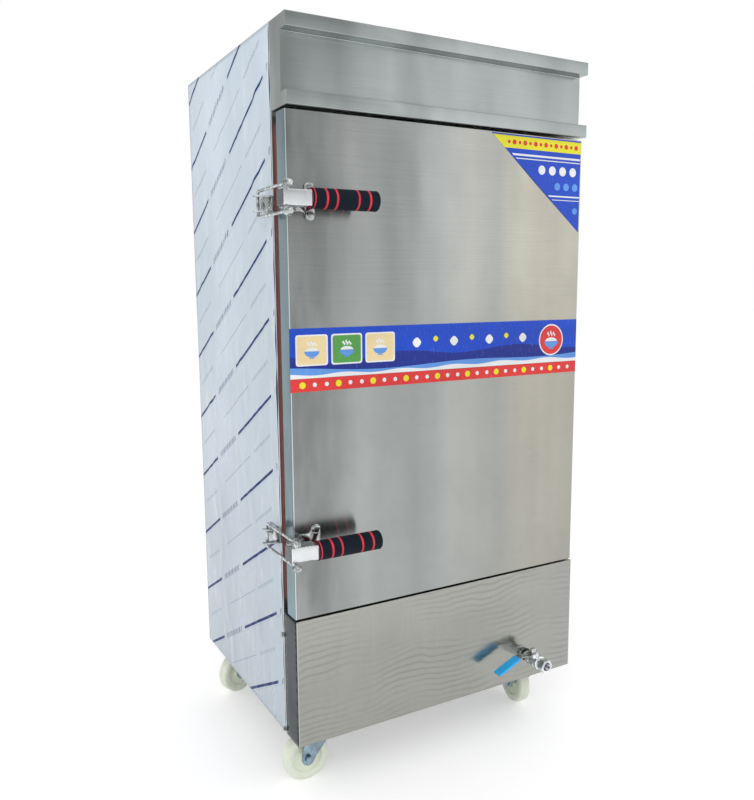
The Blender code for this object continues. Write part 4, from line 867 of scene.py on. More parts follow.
class Finish(Enum):
    """The finishes of this cabinet, each with its record slot."""

    # Door: painted shade near its left edge, a warmer painted reflection tint towards the right, and painted
    # shade on its left flank with a painted highlight on its corner.
    DOOR = ("brushed_stainless", Steel(
        "door_steel", shade(161, 165, 164), rough=0.19, bands=(6.0, 6.0, 0.35), tone_and_reflection_depth=0.17, wavy=0.003,
        spread=0.80, turn=0.25, corner=-0.3495, flank_shade=shade(122, 148, 156), left_shade=0.42,
        right_reflection_tint=shade(166, 161, 148)))
    # Fascia: a darker painted reflection tint towards the right, over deep broad bands that are partly
    # painted reflections.
    FASCIA = ("brushed_stainless", Steel(
        "fascia_steel", shade(168, 175, 174), rough=0.18, bands=(8.0, 8.0, 1.5), tone_and_reflection_depth=0.26,
        wavy=0.0015, spread=0.75, turn=0.25, right_reflection_tint=shade(138, 144, 143)))
    # Lower panel: painted ripple reflections, and dark painted shade on its left return with a faint painted
    # highlight on its corner.
    PANEL = ("brushed_stainless", Steel(
        "panel_steel", shade(161, 162, 156), rough=0.16, grain=Grain.UPRIGHT, bands=(1.5, 1.5, 5.0),
        tone_and_reflection_depth=0.07, wavy=0.003, spread=0.75, ripple_reflections=0.15, corner=-HALF_WIDTH,
        flank_shade=shade(26, 36, 40), corner_highlight=0.30))
    BODY = ("brushed_stainless", Steel(
        "body_steel", shade(185, 187, 184), rough=0.31, grain=Grain.UPRIGHT, bands=(2.0, 2.0, 0.4),
        tone_and_reflection_depth=0.09, wavy=0.003))
    FILMED = ("filmed_stainless", Steel(
        "filmed_side_steel", shade(205, 212, 220), rough=0.28, grain=Grain.UPRIGHT, bands=(2.0, 2.0, 0.4),
        tone_and_reflection_depth=0.06, wavy=0.003))
    CHAMBER = ("chamber_stainless", Steel(
        "chamber_steel", shade(190, 192, 190), rough=0.34, grain=Grain.UPRIGHT, bands=(3.0, 3.0, 1.0),
        tone_and_reflection_depth=0.12, wavy=0.002))
    # Small deep bands: painted reflections on the bright hardware.
    BRIGHT = ("bright_stainless", Steel(
        "bright_steel", shade(176, 180, 180), rough=0.16, bands=(75.0,) * 3, tone_and_reflection_depth=0.55))
    # Lever: painted shade on its left face beyond the corner, with a painted highlight on the corner.
    SATIN = ("bright_stainless", Steel(
        "satin_lever_steel", shade(216, 220, 222), rough=0.25, grain=Grain.UPRIGHT, bands=(20.0, 20.0, 8.0),
        tone_and_reflection_depth=0.08, corner=-0.3805, flank_shade=shade(92, 98, 100)))
    # Small deep bands: painted reflections on the wire.
    WIRE = ("bright_stainless", Steel(
        "wire_steel", shade(184, 188, 188), rough=0.12, grain=Grain.NONE, bands=(110.0,) * 3,
        tone_and_reflection_depth=0.55))
    # Small deep bands: painted reflections on the zinc plating.
    ZINC = ("blue_zinc", Steel(
        "zinc_plate", shade(142, 162, 176), rough=0.22, grain=Grain.NONE, bands=(60.0,) * 3,
        tone_and_reflection_depth=0.35))
    # Small deep bands: painted reflections on the chrome.
    CHROME = ("chromed_brass", Steel(
        "chrome", shade(222, 226, 228), rough=0.13, grain=Grain.NONE, bands=(60.0,) * 3, tone_and_reflection_depth=0.35))
    PLAIN_STEEL = ("base_steel", Steel(
        "base_frame_steel", shade(120, 124, 126), rough=0.42, grain=Grain.NONE, bands=(12.0,) * 3,
        tone_and_reflection_depth=0.20))
    SHEATH = ("element_sheath", Steel(
        "heater_sheath", shade(128, 124, 118), rough=0.38, grain=Grain.NONE, bands=(30.0,) * 3,
        tone_and_reflection_depth=0.22))
    FILM = ("filmed_stainless", FilmPrint("printed_film", shade(204, 219, 232), shade(0, 46, 112)))
    NYLON = ("white_nylon", Moulded(
        "wheel_nylon", shade(238, 244, 226), rough=0.40, mottle=0.04, cells=700.0, depth=0.00002, coat=0.05,
        through=0.12, dust=shade(150, 150, 140), dusty=0.25))
    RUBBER = ("black_rubber", Moulded(
        "grommet_rubber", shade(34, 34, 35), rough=0.58, mottle=0.12, depth=0.00004,
        dust=shade(120, 118, 112), dusty=0.15))
    SLEEVE = ("blue_vinyl", Moulded(
        "sleeve_vinyl", shade(30, 176, 246), rough=0.35, mottle=0.05, cells=500.0, depth=0.00002, coat=0.4,
        through=0.10))
    GASKET = ("red_silicone", Moulded(
        "gasket_silicone", shade(202, 104, 88), rough=0.42, mottle=0.14, cells=600.0, coat=0.1, through=0.15,
        dust=shade(226, 190, 178), dusty=0.45))
    TERMINAL = ("terminal_plastic", Moulded("cover_plastic", shade(52, 52, 54), rough=0.5))
    INSULATION = ("insulation_foam", Foam("packed_foam", shade(214, 196, 148), 500.0))
    GRIP = ("grip_foam", Foam("grip_sleeve_foam", shade(15, 25, 37), 1100.0))
    RING = ("grip_foam", Foam("grip_ring_foam", shade(214, 58, 72), 1100.0))
    BLUE = ("blue_vinyl", Ink("sticker_blue", shade(22, 72, 196)))
    DEEP_BLUE = ("blue_vinyl", Ink("sticker_deep_blue", shade(22, 44, 140)))
    PALE_BLUE = ("blue_vinyl", Ink("sticker_pale_blue", shade(96, 152, 226)))
    RED = ("blue_vinyl", Ink("sticker_red", shade(222, 58, 56)))
    WHITE = ("blue_vinyl", Ink("sticker_white", shade(234, 236, 238)))
    YELLOW = ("blue_vinyl", Ink("sticker_yellow", shade(232, 226, 40)))
    GREEN = ("blue_vinyl", Ink("sticker_green", shade(84, 158, 76)))
    CREAM = ("blue_vinyl", Ink("sticker_cream", shade(236, 214, 164)))
    # White strip on the film's torn front edge: a painted highlight of the bright front edge.
    WHITE_EDGE = ("filmed_stainless", Ink("torn_film_edge_highlight", shade(240, 243, 247), 0.45))

    @property
    def slot(self) -> str:
        """Record slot that the finish belongs to."""
        return self.value[0]

    def material(self) -> bpy.types.Material:
        """Material of the finish, made once, under a name that no CAD material has."""
        return bpy.data.materials.get(self.value[1].name) or self.value[1].make()


def dress(piece: Piece, finish: Finish, body: str, *nodes: str) -> Piece:
    """Give a new piece its finish and body, and hide the CAD nodes that it stands for.

    Args:
        piece: New object.
        finish: Its finish.
        body: Body that it rides on.
        nodes: Nodes that it replaces.

    Returns:
        The same object.
    """
    piece.data.materials.clear()
    piece.data.materials.append(finish.material())
    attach(piece, body)
    if nodes:
        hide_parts(*nodes)
    LOG.info("%s: %s on %s, %d faces", piece.name, finish.name.lower(), body, len(piece.data.polygons))
    return piece


def finish_node(node: str, finish: Finish) -> None:
    """Give a carried-over CAD node a finish."""
    piece = bpy.data.objects[node]
    for place in piece.material_slots:
        place.material = finish.material()
    LOG.info("%s: CAD node in %s", node, finish.name.lower())


# Door with its gasket and stickers


@dataclass
class Door:
    """Insulated door: dented outer sheet, flanged edge, inner liner, foam and bulb gasket."""

    half_width: float = 0.3495
    rise: float = 0.0010
    fine_share: float = 0.22
    lean: float = 0.55
    most: float = 0.00115
    fade: float = 0.05
    bolt_x: float = -0.305
    bolt_step: float = 0.024
    bolt_dip: float = 0.0005
    bolt_spread: float = 0.0014
    gasket_inset: float = 0.008
    gasket_width: float = 0.016
    gasket_deep: float = 0.0091
    gasket_y: float = -0.00945
    gasket_corner: float = 0.010
    gasket_step: float = 0.03
    cells: tuple[int, int, int] = (70, 6, 96)

    def build(self) -> None:
        """Build the outer sheet, its edge lip and the gasket, and dress the inner nodes."""
        tall = waves(11, self.rise, (0.9, 0.55, 0.42, 0.31, 0.23), (0.7, 1.6))
        fine = waves(12, self.rise * self.fine_share, (0.17, 0.12, 0.09), (0.8, 1.8))
        steps = (self.bolt_step, -self.bolt_step)
        bolts = [latch + step for latch in (UPPER_LATCH, LOWER_LATCH) for step in steps]

        def dent(p: Points) -> Points:
            """Front points move back by the waves and by a dip round each bolt, less towards the edge."""
            x, y, z = p.T
            edge = np.minimum(self.half_width - np.abs(x), np.minimum(z - DOOR_BOTTOM, DOOR_TOP - z))
            fade = np.clip(edge / self.fade, 0, 1) ** 1.5 * (y < DOOR_FRONT + TOUCHING)
            aside = (x - self.bolt_x) ** 2
            dip = sum(np.exp(-(aside + (z - bolt) ** 2) / self.bolt_spread) for bolt in bolts)
            depth = self.rise * self.lean + tall(x, z) + fine(x, z) + self.bolt_dip * dip
            q = p.copy()
            q[:, 1] += fade * depth.clip(0, self.most)
            return q

        skin = sheet_box("door_outer_sheet", (-self.half_width, DOOR_FRONT, DOOR_BOTTOM),
                         (self.half_width, DOOR_BACK, DOOR_TOP), self.cells, dent)
        dress(skin, Finish.DOOR, "door", "door_skin")
        finish_node("door_liner", Finish.CHAMBER)
        finish_node("door_foam", Finish.INSULATION)
        dress(self.gasket(), Finish.GASKET, "door", "door_gasket")

    def gasket(self) -> Piece:
        """Bulb seal carried round the door's back along a rounded rectangle.

        Its section is a foot as wide as the seal, a neck, and a bulb towards the cabinet.

        Returns:
            The seal, one closed ring.
        """
        half, deep = self.gasket_width / 2, self.gasket_deep
        inset = self.gasket_inset + half
        x = self.half_width - inset
        loop = rectangle(-x, DOOR_BOTTOM + inset, x, DOOR_TOP - inset, self.gasket_corner, 6)
        after = np.roll(loop, -1, axis=0)
        path = []
        for start, end, length in zip(loop, after, np.linalg.norm(after - loop, axis=1)):
            count = max(1, int(length / self.gasket_step))
            path.append(start + (end - start) * np.linspace(0, 1, count, endpoint=False)[:, None])
        path = np.insert(np.concatenate(path), 1, self.gasket_y, axis=1)
        side = [(-deep, half - 0.002), (-0.0052, half - 0.001), (-0.0035, half - 0.004),
                (-0.0020, half - 0.0018), (0.0010, half), (0.0045, half - 0.0007), (0.0072, half - 0.003)]
        bulb = [(-deep, -half + 0.002), *side, (0.0086, 0.0), *[(y, -h) for y, h in side[:0:-1]]]
        return swept("door_bulb_gasket", path, bulb, Y_AXIS, closed=True)


@dataclass
class Sticker:
    """Flat shapes of printed vinyl, one thin layer over another on the door's front."""

    thickness: float = 0.00016
    face: float = DOOR_FRONT - 0.00005

    def patch(self, name: str, outline: Rows, finish: Finish, layer: int = 0) -> None:
        """Lay one shape on the door.

        Args:
            name: Name of the piece.
            outline: Closed outline in x and z, counter-clockwise from the front.
            finish: Its ink.
            layer: How many layers lie under it.
        """
        front = self.face - layer * self.thickness
        piece = cut_plate(name, np.asarray(outline, float), self.thickness, (0, front, 0), X_AXIS, Z_AXIS,
                          self.thickness * 0.3)
        dress(piece, finish, "door")

    def disc(self, x: float, z: float, radius: float, steps: int) -> Points:
        """Circle about a point."""
        return np.array([x, z]) + circle(radius, steps)


@dataclass
class Banner(Sticker):
    """Band across the door: blue field over a red strip, with plain kitchen motifs."""

    half: float = 0.3493
    top: float = 0.942
    split: float = 0.849
    bottom: float = 0.824
    strip_gap: float = 0.0004
    frame_z: float = 0.901
    frame_half: tuple[float, float] = (0.033, 0.029)
    frame_line: float = 0.003
    sun: tuple[float, float] = (0.275, 0.8985)
    sun_radii: tuple[float, float] = (0.0345, 0.0315)
    bead_z: float = 0.8363

    def band(self, low: float, high: float) -> Rows:
        """Rectangle across the door between two heights."""
        return [(-self.half, low), (self.half, low), (self.half, high), (-self.half, high)]

    def swell(self, base: float, height: float, lengths: Numbers, seed: int) -> Rows:
        """Hill-like band: from the strip's top edge up to base + height x waves(x)."""
        x = np.linspace(-self.half, self.half, 90)
        crest = base + waves(seed, height, lengths)(x, np.zeros_like(x))
        return [(-self.half, self.split), (self.half, self.split), *zip(x[::-1], crest[::-1])]

    def curl(self, x: float, low: float, high: float, swing: float = 0.0018) -> Rows:
        """Rising curl of steam: a ribbon that swings as sin and tapers at both ends."""
        t = np.linspace(0, 1, 26)
        mid = x + swing * np.sin(2 * np.pi * t)
        half = 0.0022 * np.sin(np.pi * t) + 0.0002
        z = low + (high - low) * t
        return [*zip(mid + half, z), *zip((mid - half)[::-1], z[::-1])]

    def bowl(self, x: float, z: float, half: float, name: str) -> None:
        """Round bowl of rice with three steam curls over it.

        Its shapes are half ellipses, and every measure is a share of half its width.

        Args:
            x: Middle of the bowl.
            z: Height of its rim.
            half: Half of its width.
            name: Start of its pieces' names.
        """
        bowl = arc((0, 0), half, 180, 360, 21) * (1, 0.72) + (x, z)
        rice = arc((0, 0), half, 0, 180, 21) * (0.88, 0.42) + (x, z + 0.0006)
        low, high, wide, neck = z - half * 0.86, z - half * 0.745, half * 0.4, half * 0.34
        foot = rounded_outline([(x - wide, low), (x + wide, low), (x + neck, high), (x - neck, high)], 0.001)
        for part, shape, ink in (("bowl", bowl, Finish.PALE_BLUE), ("rice", rice, Finish.WHITE),
                                 ("foot", foot, Finish.PALE_BLUE)):
            self.patch(f"{name}_{part}", shape, ink, 6)
        for i, (step, rise) in enumerate(((-0.42, 1.15), (0.0, 1.27), (0.42, 1.15))):
            curl = self.curl(x + step * half, z + half * 0.55, z + half * rise)
            self.patch(f"{name}_steam_{i + 1}", curl, Finish.WHITE, 6)

    def build(self) -> None:
        """Lay the field, strip, hills, framed panels, sun, tiles and beads."""
        self.patch("banner_blue", self.band(self.split, self.top), Finish.BLUE)
        self.patch("banner_red", self.band(self.bottom, self.split - self.strip_gap), Finish.RED)
        self.patch("banner_hill_back", self.swell(0.886, 0.018, (0.46, 0.29, 0.2), 31), Finish.DEEP_BLUE, 1)
        self.patch("banner_hill_front", self.swell(0.866, 0.012, (0.38, 0.23, 0.16), 32), Finish.PALE_BLUE, 2)
        self.patch("banner_hill_pale", self.swell(0.8555, 0.006, (0.27, 0.17, 0.12), 33), Finish.WHITE, 3)
        grounds = ((-0.305, Finish.CREAM), (-0.232, Finish.GREEN), (-0.159, Finish.CREAM))
        z = self.frame_z
        for i, (x, ground) in enumerate(grounds):
            for part, inset, ink, layer in (("frame", 0.0, Finish.WHITE, 4),
                                            ("ground", self.frame_line, ground, 5)):
                wide, tall = (half - inset for half in self.frame_half)
                panel = rectangle(x - wide, z - tall, x + wide, z + tall, 0.006 - inset / 3)
                self.patch(f"banner_{part}_{i + 1}", panel, ink, layer)
            self.bowl(x, z - 0.002, 0.0155, f"banner_dish_{i + 1}")
        self.patch("banner_sun_rim", self.disc(*self.sun, self.sun_radii[0], 40), Finish.WHITE, 4)
        self.patch("banner_sun", self.disc(*self.sun, self.sun_radii[1], 40), Finish.RED, 5)
        self.bowl(self.sun[0], self.sun[1] - 0.0035, 0.019, "banner_emblem")
        for i, x in enumerate(np.linspace(-0.075, 0.195, 7)):
            size, z, ink = (0.0075, 0.9125, Finish.YELLOW) if i % 2 else (0.0125, 0.9065, Finish.WHITE)
            petal = [(x, z - size), (x + size, z), (x, z + size), (x - size, z)]
            self.patch(f"banner_tile_{i + 1}", rounded_outline(petal, size * 0.6, 6), ink, 4)
        for i, x in enumerate(np.linspace(-0.325, 0.325, 27)):
            size, ink = (0.0042, Finish.WHITE) if i % 3 else (0.0064, Finish.YELLOW)
            self.patch(f"banner_bead_{i + 1}", self.disc(x, self.bead_z, size, 14), ink, 1)


@dataclass
class CornerSticker(Sticker):
    """Blue corner triangle with a yellow band along its top and plain stripes."""

    start: tuple[float, float] = (0.1045, 1.327)
    top: tuple[float, float] = (0.3477, 1.327)
    low: tuple[float, float] = (0.3464, 1.133)
    band: tuple[float, float] = (1.2995, 1.3240)
    right: float = 0.3462
    stripe_inset: float = 0.006
    stripes: Rows = ((1.2855, 1.2895), (1.2790, 1.2810), (1.2060, 1.2090), (1.1990, 1.2005))
    discs: Rows = ((0.239, 1.2600, 0.0095), (0.268, 1.2600, 0.0095), (0.297, 1.2600, 0.0095),
                   (0.326, 1.2600, 0.0095), (0.283, 1.2280, 0.0080), (0.308, 1.2280, 0.0080),
                   (0.333, 1.2280, 0.0080), (0.334, 1.1780, 0.0070))
    bead_z: float = 1.3118

    def build(self) -> None:
        """Lay the triangle, its band, stripes, discs and beads."""
        self.patch("corner_blue", [self.low, self.top, self.start], Finish.BLUE)
        low, high = self.band
        self.patch("corner_yellow", [self.cut(low), (0.3476, low), (0.3477, high), self.cut(high)],
                   Finish.YELLOW, 1)
        for i, (low, high) in enumerate(self.stripes):
            stripe = [self.cut(low, self.stripe_inset), (self.right, low), (self.right, high),
                      self.cut(high, self.stripe_inset)]
            self.patch(f"corner_stripe_{i + 1}", stripe, Finish.WHITE, 1)
        for i, (x, z, size) in enumerate(self.discs):
            self.patch(f"corner_disc_{i + 1}", self.disc(x, z, size, 24),
                       Finish.WHITE if i < 4 else Finish.PALE_BLUE, 1)
        for i, x in enumerate(np.linspace(0.150, 0.334, 14)):
            size = 0.0052 if i % 2 else 0.0036
            self.patch(f"corner_bead_{i + 1}", self.disc(x, self.bead_z, size, 12), Finish.RED, 2)

    def cut(self, height: float, inset: float = 0.0) -> tuple[float, float]:
        """Point of the slanting edge at a height, moved inwards by inset."""
        (x, z), (end_x, end_z) = self.start, self.low
        return x + (end_x - x) * (z - height) / (z - end_z) + inset, height


# Body


def screw(name: str, centre: Numbers, along: Numbers, radius: float) -> Piece:
    """Pan-head screw with a cross recess.

    The head is a dome h = r (0.12 + 0.45 cos(pi r' / 2r)) turned about its axis, less two crossed bars.

    Args:
        name: Name of the piece.
        centre: Where the head meets the sheet.
        along: Direction that the head faces.
        radius: Radius of the head.

    Returns:
        The screw head.
    """
    a = np.linspace(1, 0, 7)
    profile = radius * np.stack([a, 0.12 + 0.45 * np.cos(np.pi / 2 * a)], axis=1)
    head = turned(name, [(radius, 0.0), *profile], centre, along, 20)
    u, v, w = axes_for(along)
    bar = rectangle(-radius * 0.62, -radius * 0.11, radius * 0.62, radius * 0.11, radius * 0.05, 1)
    foot = np.asarray(centre) + w * radius * 0.22
    bars = [cut_plate("bar", bar, radius * 0.98, foot, first, second) for first, second in ((u, v), (v, -u))]
    for cutter in bars:
        cutter.modifiers.clear()
    return bore(head, bars)


def hex_head(name: str, seat: Numbers, along: Numbers, radius: float = 0.0055, height: float = 0.0045,
             washer: float = 0.0085, domed: bool = False) -> Piece:
    """Hexagon head on a washer, its corners drawn in over the last fifth of the height.

    Args:
        name: Name of the piece.
        seat: Where the washer meets the sheet.
        along: Direction that the head faces.
        radius: Corner radius of the hexagon.
        height: Height of the head.
        washer: Radius of the washer, or zero for none.
        domed: Crown the head as an acorn nut.

    Returns:
        The head and its washer as one mesh.
    """
    w, start = np.asarray(along, float), np.asarray(seat, float)
    parts = []
    if washer:
        thick = 0.0015
        profile = [(washer - 0.0003, 0.0), (washer, 0.0003), (washer, thick - 0.0004),
                   (washer - 0.0004, thick), (radius * 0.6, thick)]
        parts.append(turned("washer", profile, start, along))
        start = start + w * thick
    profile = [(radius * 0.97, 0.0), (radius, height * 0.08), (radius, height * 0.78), (radius * 0.9, height)]
    parts.append(crisp(turned("head", profile, start, along, 6), 25))
    if domed:
        crown = radius * 0.86
        profile = [(crown, -0.0005), *(arc((0, 0), crown, 0, 90, 7) * (1, 1.2))]
        parts.append(turned("dome", profile, start + w * height * 0.99, along, 28))
    else:
        profile = [(radius * 0.66, -0.0004), (radius * 0.62, 0.00035), (radius * 0.3, 0.00045),
                   (0.0, 0.00045)]
        parts.append(turned("face", profile, start + w * height, along, 20))
    return unite(name, parts)


@dataclass
class Fascia:
    """Bent top front: rim, recessed panel and lower band of one sheet, with notched end plates."""

    front: float = -0.0711
    back: float = -0.0004
    recess: float = 0.0255
    rim: float = 0.0255
    band: float = 0.0255
    bend: float = 0.0019
    columns: int = 90
    row: float = 0.012
    wave: float = 0.0007
    wave_fade: float = 0.02

    def outline(self, inset: float = 0.0, back: float | None = None) -> list[tuple[float, float]]:
        """Side view of the sheet from its bottom rear edge round to its top rear edge.

        Args:
            inset: How far the view is drawn in, so that the ends stand inside the bends.
            back: Its rear end, if it isn't the sheet's own.

        Returns:
            Corners in y and z.
        """
        rear = self.back if back is None else back
        low, high, front = FASCIA_BOTTOM + inset, BODY_TOP - inset, self.front + inset
        deep, under, over = front + self.recess, high - self.rim + 2 * inset, low + self.band - 2 * inset
        return [(rear, low), (front, low), (front, over), (deep, over), (deep, under), (front, under),
                (front, high), (rear, high)]

    def build(self) -> None:
        """Carry the side view along x, with slow waves in the recessed panel, and close the ends."""
        view = rounded_line(self.outline(), self.bend)
        rows = [np.linspace(a, b, max(2, int(np.linalg.norm(b - a) / self.row)), endpoint=False)
                for a, b in zip(view[:-1], view[1:])]
        view = np.concatenate([*rows, view[-1:]])
        x = np.linspace(-HALF_WIDTH, HALF_WIDTH, self.columns)
        grid = np.empty((len(x), len(view), 3))
        grid[..., 0] = x[:, None]
        grid[..., 1:] = view[None]
        wave = waves(41, self.wave, (0.5, 0.33, 0.21), (1.2, 0.8))
        y, z = grid[..., 1], grid[..., 2]
        inside = np.clip(1 - 40 * np.abs(y - self.front - self.recess) / self.recess, 0, 1)
        reach = np.minimum(z - FASCIA_BOTTOM - self.band, BODY_TOP - self.rim - z) / self.wave_fade
        grid[..., 1] += wave(grid[..., 0], z) * inside * np.clip(reach, 0, 1)
        sheet = make_mesh("fascia_sheet", grid, grid_faces(*grid.shape[:2])[:, ::-1], outward=False)
        thicken(crisp(sheet, 60), SHEET)
        soften(sheet, 0.0003, 1, 60)
        dress(sheet, Finish.FASCIA, "cabinet", "fascia")
        view = rounded_outline(self.outline(SHEET, self.back - 0.0002), 0.001, 2)
        for side, name in SIDES:
            start = side * HALF_WIDTH - (SHEET if side > 0 else 0) + 0.00001
            plate = cut_plate(f"fascia_{name}_end", view, SHEET * 0.98, (start, 0, 0), Y_AXIS, Z_AXIS, 0.0002)
            dress(plate, Finish.FASCIA, "cabinet")


@dataclass
class LowerPanel:
    """Service cover under the door: a wavy sheet with folded returns and a rubber-edged pipe hole."""

    front: float = -0.0607
    back: float = -0.0015
    lip: float = 0.015
    hole: tuple[float, float] = (0.219, 0.177)
    hole_radius: float = 0.0125
    grommet_bore: float = 0.01095
    grommet_lip: float = 0.0015
    grommet_thick: float = 0.0012
    least: float = 0.0012
    edge_fade: float = 0.035
    hole_fade: float = 0.03

    def build(self) -> None:
        """Build the waved sheet, bore the hole and fit the grommet."""
        long = waves(51, 0.0015, (0.62, 0.40, 0.27), (3.4, 0.75))
        short = waves(52, 0.0004, (0.16, 0.11), (3.0, 0.8))
        hole_x, hole_z = self.hole

        def ripple(p: Points) -> Points:
            """Front points move back by the waves, which fade out at the folds and round the hole."""
            x, y, z = p.T
            edge = np.minimum(HALF_WIDTH - np.abs(x), np.minimum(z - BODY_BOTTOM, LOWER_TOP - z))
            ring = np.hypot(x - hole_x, z - hole_z) - self.hole_radius
            fade = np.clip(edge / self.edge_fade, 0, 1) * np.clip(ring / self.hole_fade, 0, 1)
            depth = (self.least + long(x, z) + short(x, z)).clip(0, None)
            q = p.copy()
            q[:, 1] += fade * (y < self.front + TOUCHING) * depth
            return q

        sheet = sheet_box("lower_cover_sheet", (-HALF_WIDTH, self.front, BODY_BOTTOM),
                          (HALF_WIDTH, self.back, LOWER_TOP), (84, 6, 40), ripple, bend=0.0018, lip=self.lip)
        centre = (hole_x, self.front, hole_z)
        drill = turned("drill", [(self.hole_radius, -0.01), (self.hole_radius, 0.01)], centre, AHEAD, 48)
        dress(bore(sheet, [drill]), Finish.PANEL, "cabinet", "lower_front_panel")
        inner, neck, lip = self.grommet_bore, self.hole_radius - SEAM, self.hole_radius + self.grommet_lip
        front, rear, t = SEAM, -SHEET - SEAM, self.grommet_thick
        section = [(inner, front + t), (lip - 0.0006, front + t), (lip, front + t * 0.6), (lip, front),
                   (neck, front), (neck, rear), (lip, rear), (lip, rear - t), (inner, rear - t)]
        ring = ringed("pipe_hole_grommet", section, centre, AHEAD, 40)
        dress(soften(crisp(ring), 0.0003), Finish.RUBBER, "cabinet", "pipe_grommet")


@dataclass
class SideFilm:
    """Printed protective film left on the left side: thin, blistered, ragged at its front edge."""

    face: float = -HALF_WIDTH
    front: float = 0.0060
    back: float = 0.5085
    low: float = 0.1215
    high: float = 1.4870
    lift: float = 0.0011
    gap: float = 0.00007
    thickness: float = 0.0001
    wander: float = 0.0011
    torn_width: float = 0.0026
    torn_lift: float = 0.00012
    torn_thickness: float = 0.00015
    strike: tuple[float, float] = (0.066, 0.022)
    edge_fade: float = 0.015
    cells: tuple[int, int] = (76, 190)

    def build(self) -> None:
        """Lay a grid on the side sheet.

        x = face - (gap + creases), where creases = lift x |sum of slanting waves|^1.6, held down under
        the latches' strikes, at the screws and at the edges; the front edge wanders by a millimetre.
        """
        u, v = np.linspace(0, 1, self.cells[0]) ** 1.25, np.linspace(0, 1, self.cells[1])
        heights = self.low + (self.high - self.low) * v
        wander = waves(61, self.wander, (0.31, 0.12, 0.05, 0.021))(heights, np.zeros_like(heights))
        grid = np.empty((len(u), len(v), 3))
        grid[..., 1] = (self.front + wander)[None, :] * (1 - u[:, None]) + self.back * u[:, None]
        grid[..., 2] = heights[None, :]
        y, z = grid[..., 1], grid[..., 2]
        slant = waves(62, 1.0, (0.23, 0.13, 0.085, 0.061, 0.047), (0.8, 2.4))(y, z)
        curl = np.exp(-(y - self.front) / 0.006)
        hold = np.ones_like(y)
        for latch in (UPPER_LATCH, LOWER_LATCH):
            hold *= np.clip(np.maximum(np.abs(z - latch) - self.strike[1], y - self.strike[0]) / 0.02, 0, 1)
        for height in SIDE_SCREWS:
            hold *= np.clip((np.hypot(y - 0.006, z - height) - 0.006) / 0.012, 0, 1)
        edge = np.minimum(self.back - y, np.minimum(z - self.low, self.high - z)) / self.edge_fade
        rise = self.lift * (np.abs(slant) ** 1.6 * 2.2 + 0.25 * curl)
        grid[..., 0] = self.face - self.gap - rise * hold * np.clip(edge, 0, 1)
        # A white strip along the torn front edge paints the highlight of the bright front edge.
        torn = np.stack([grid[0], grid[0] + (0.0, self.torn_width, 0.0)]) - (self.torn_lift, 0.0, 0.0)
        for name, shape, thickness, finish in (("side_protective_film", grid, self.thickness, Finish.FILM),
                                               ("side_film_torn_edge_highlight", torn, self.torn_thickness,
                                                Finish.WHITE_EDGE)):
            sheet = make_mesh(name, shape, grid_faces(*shape.shape[:2]), outward=False)
            dress(thicken(sheet, thickness, 1.0), finish, "cabinet")


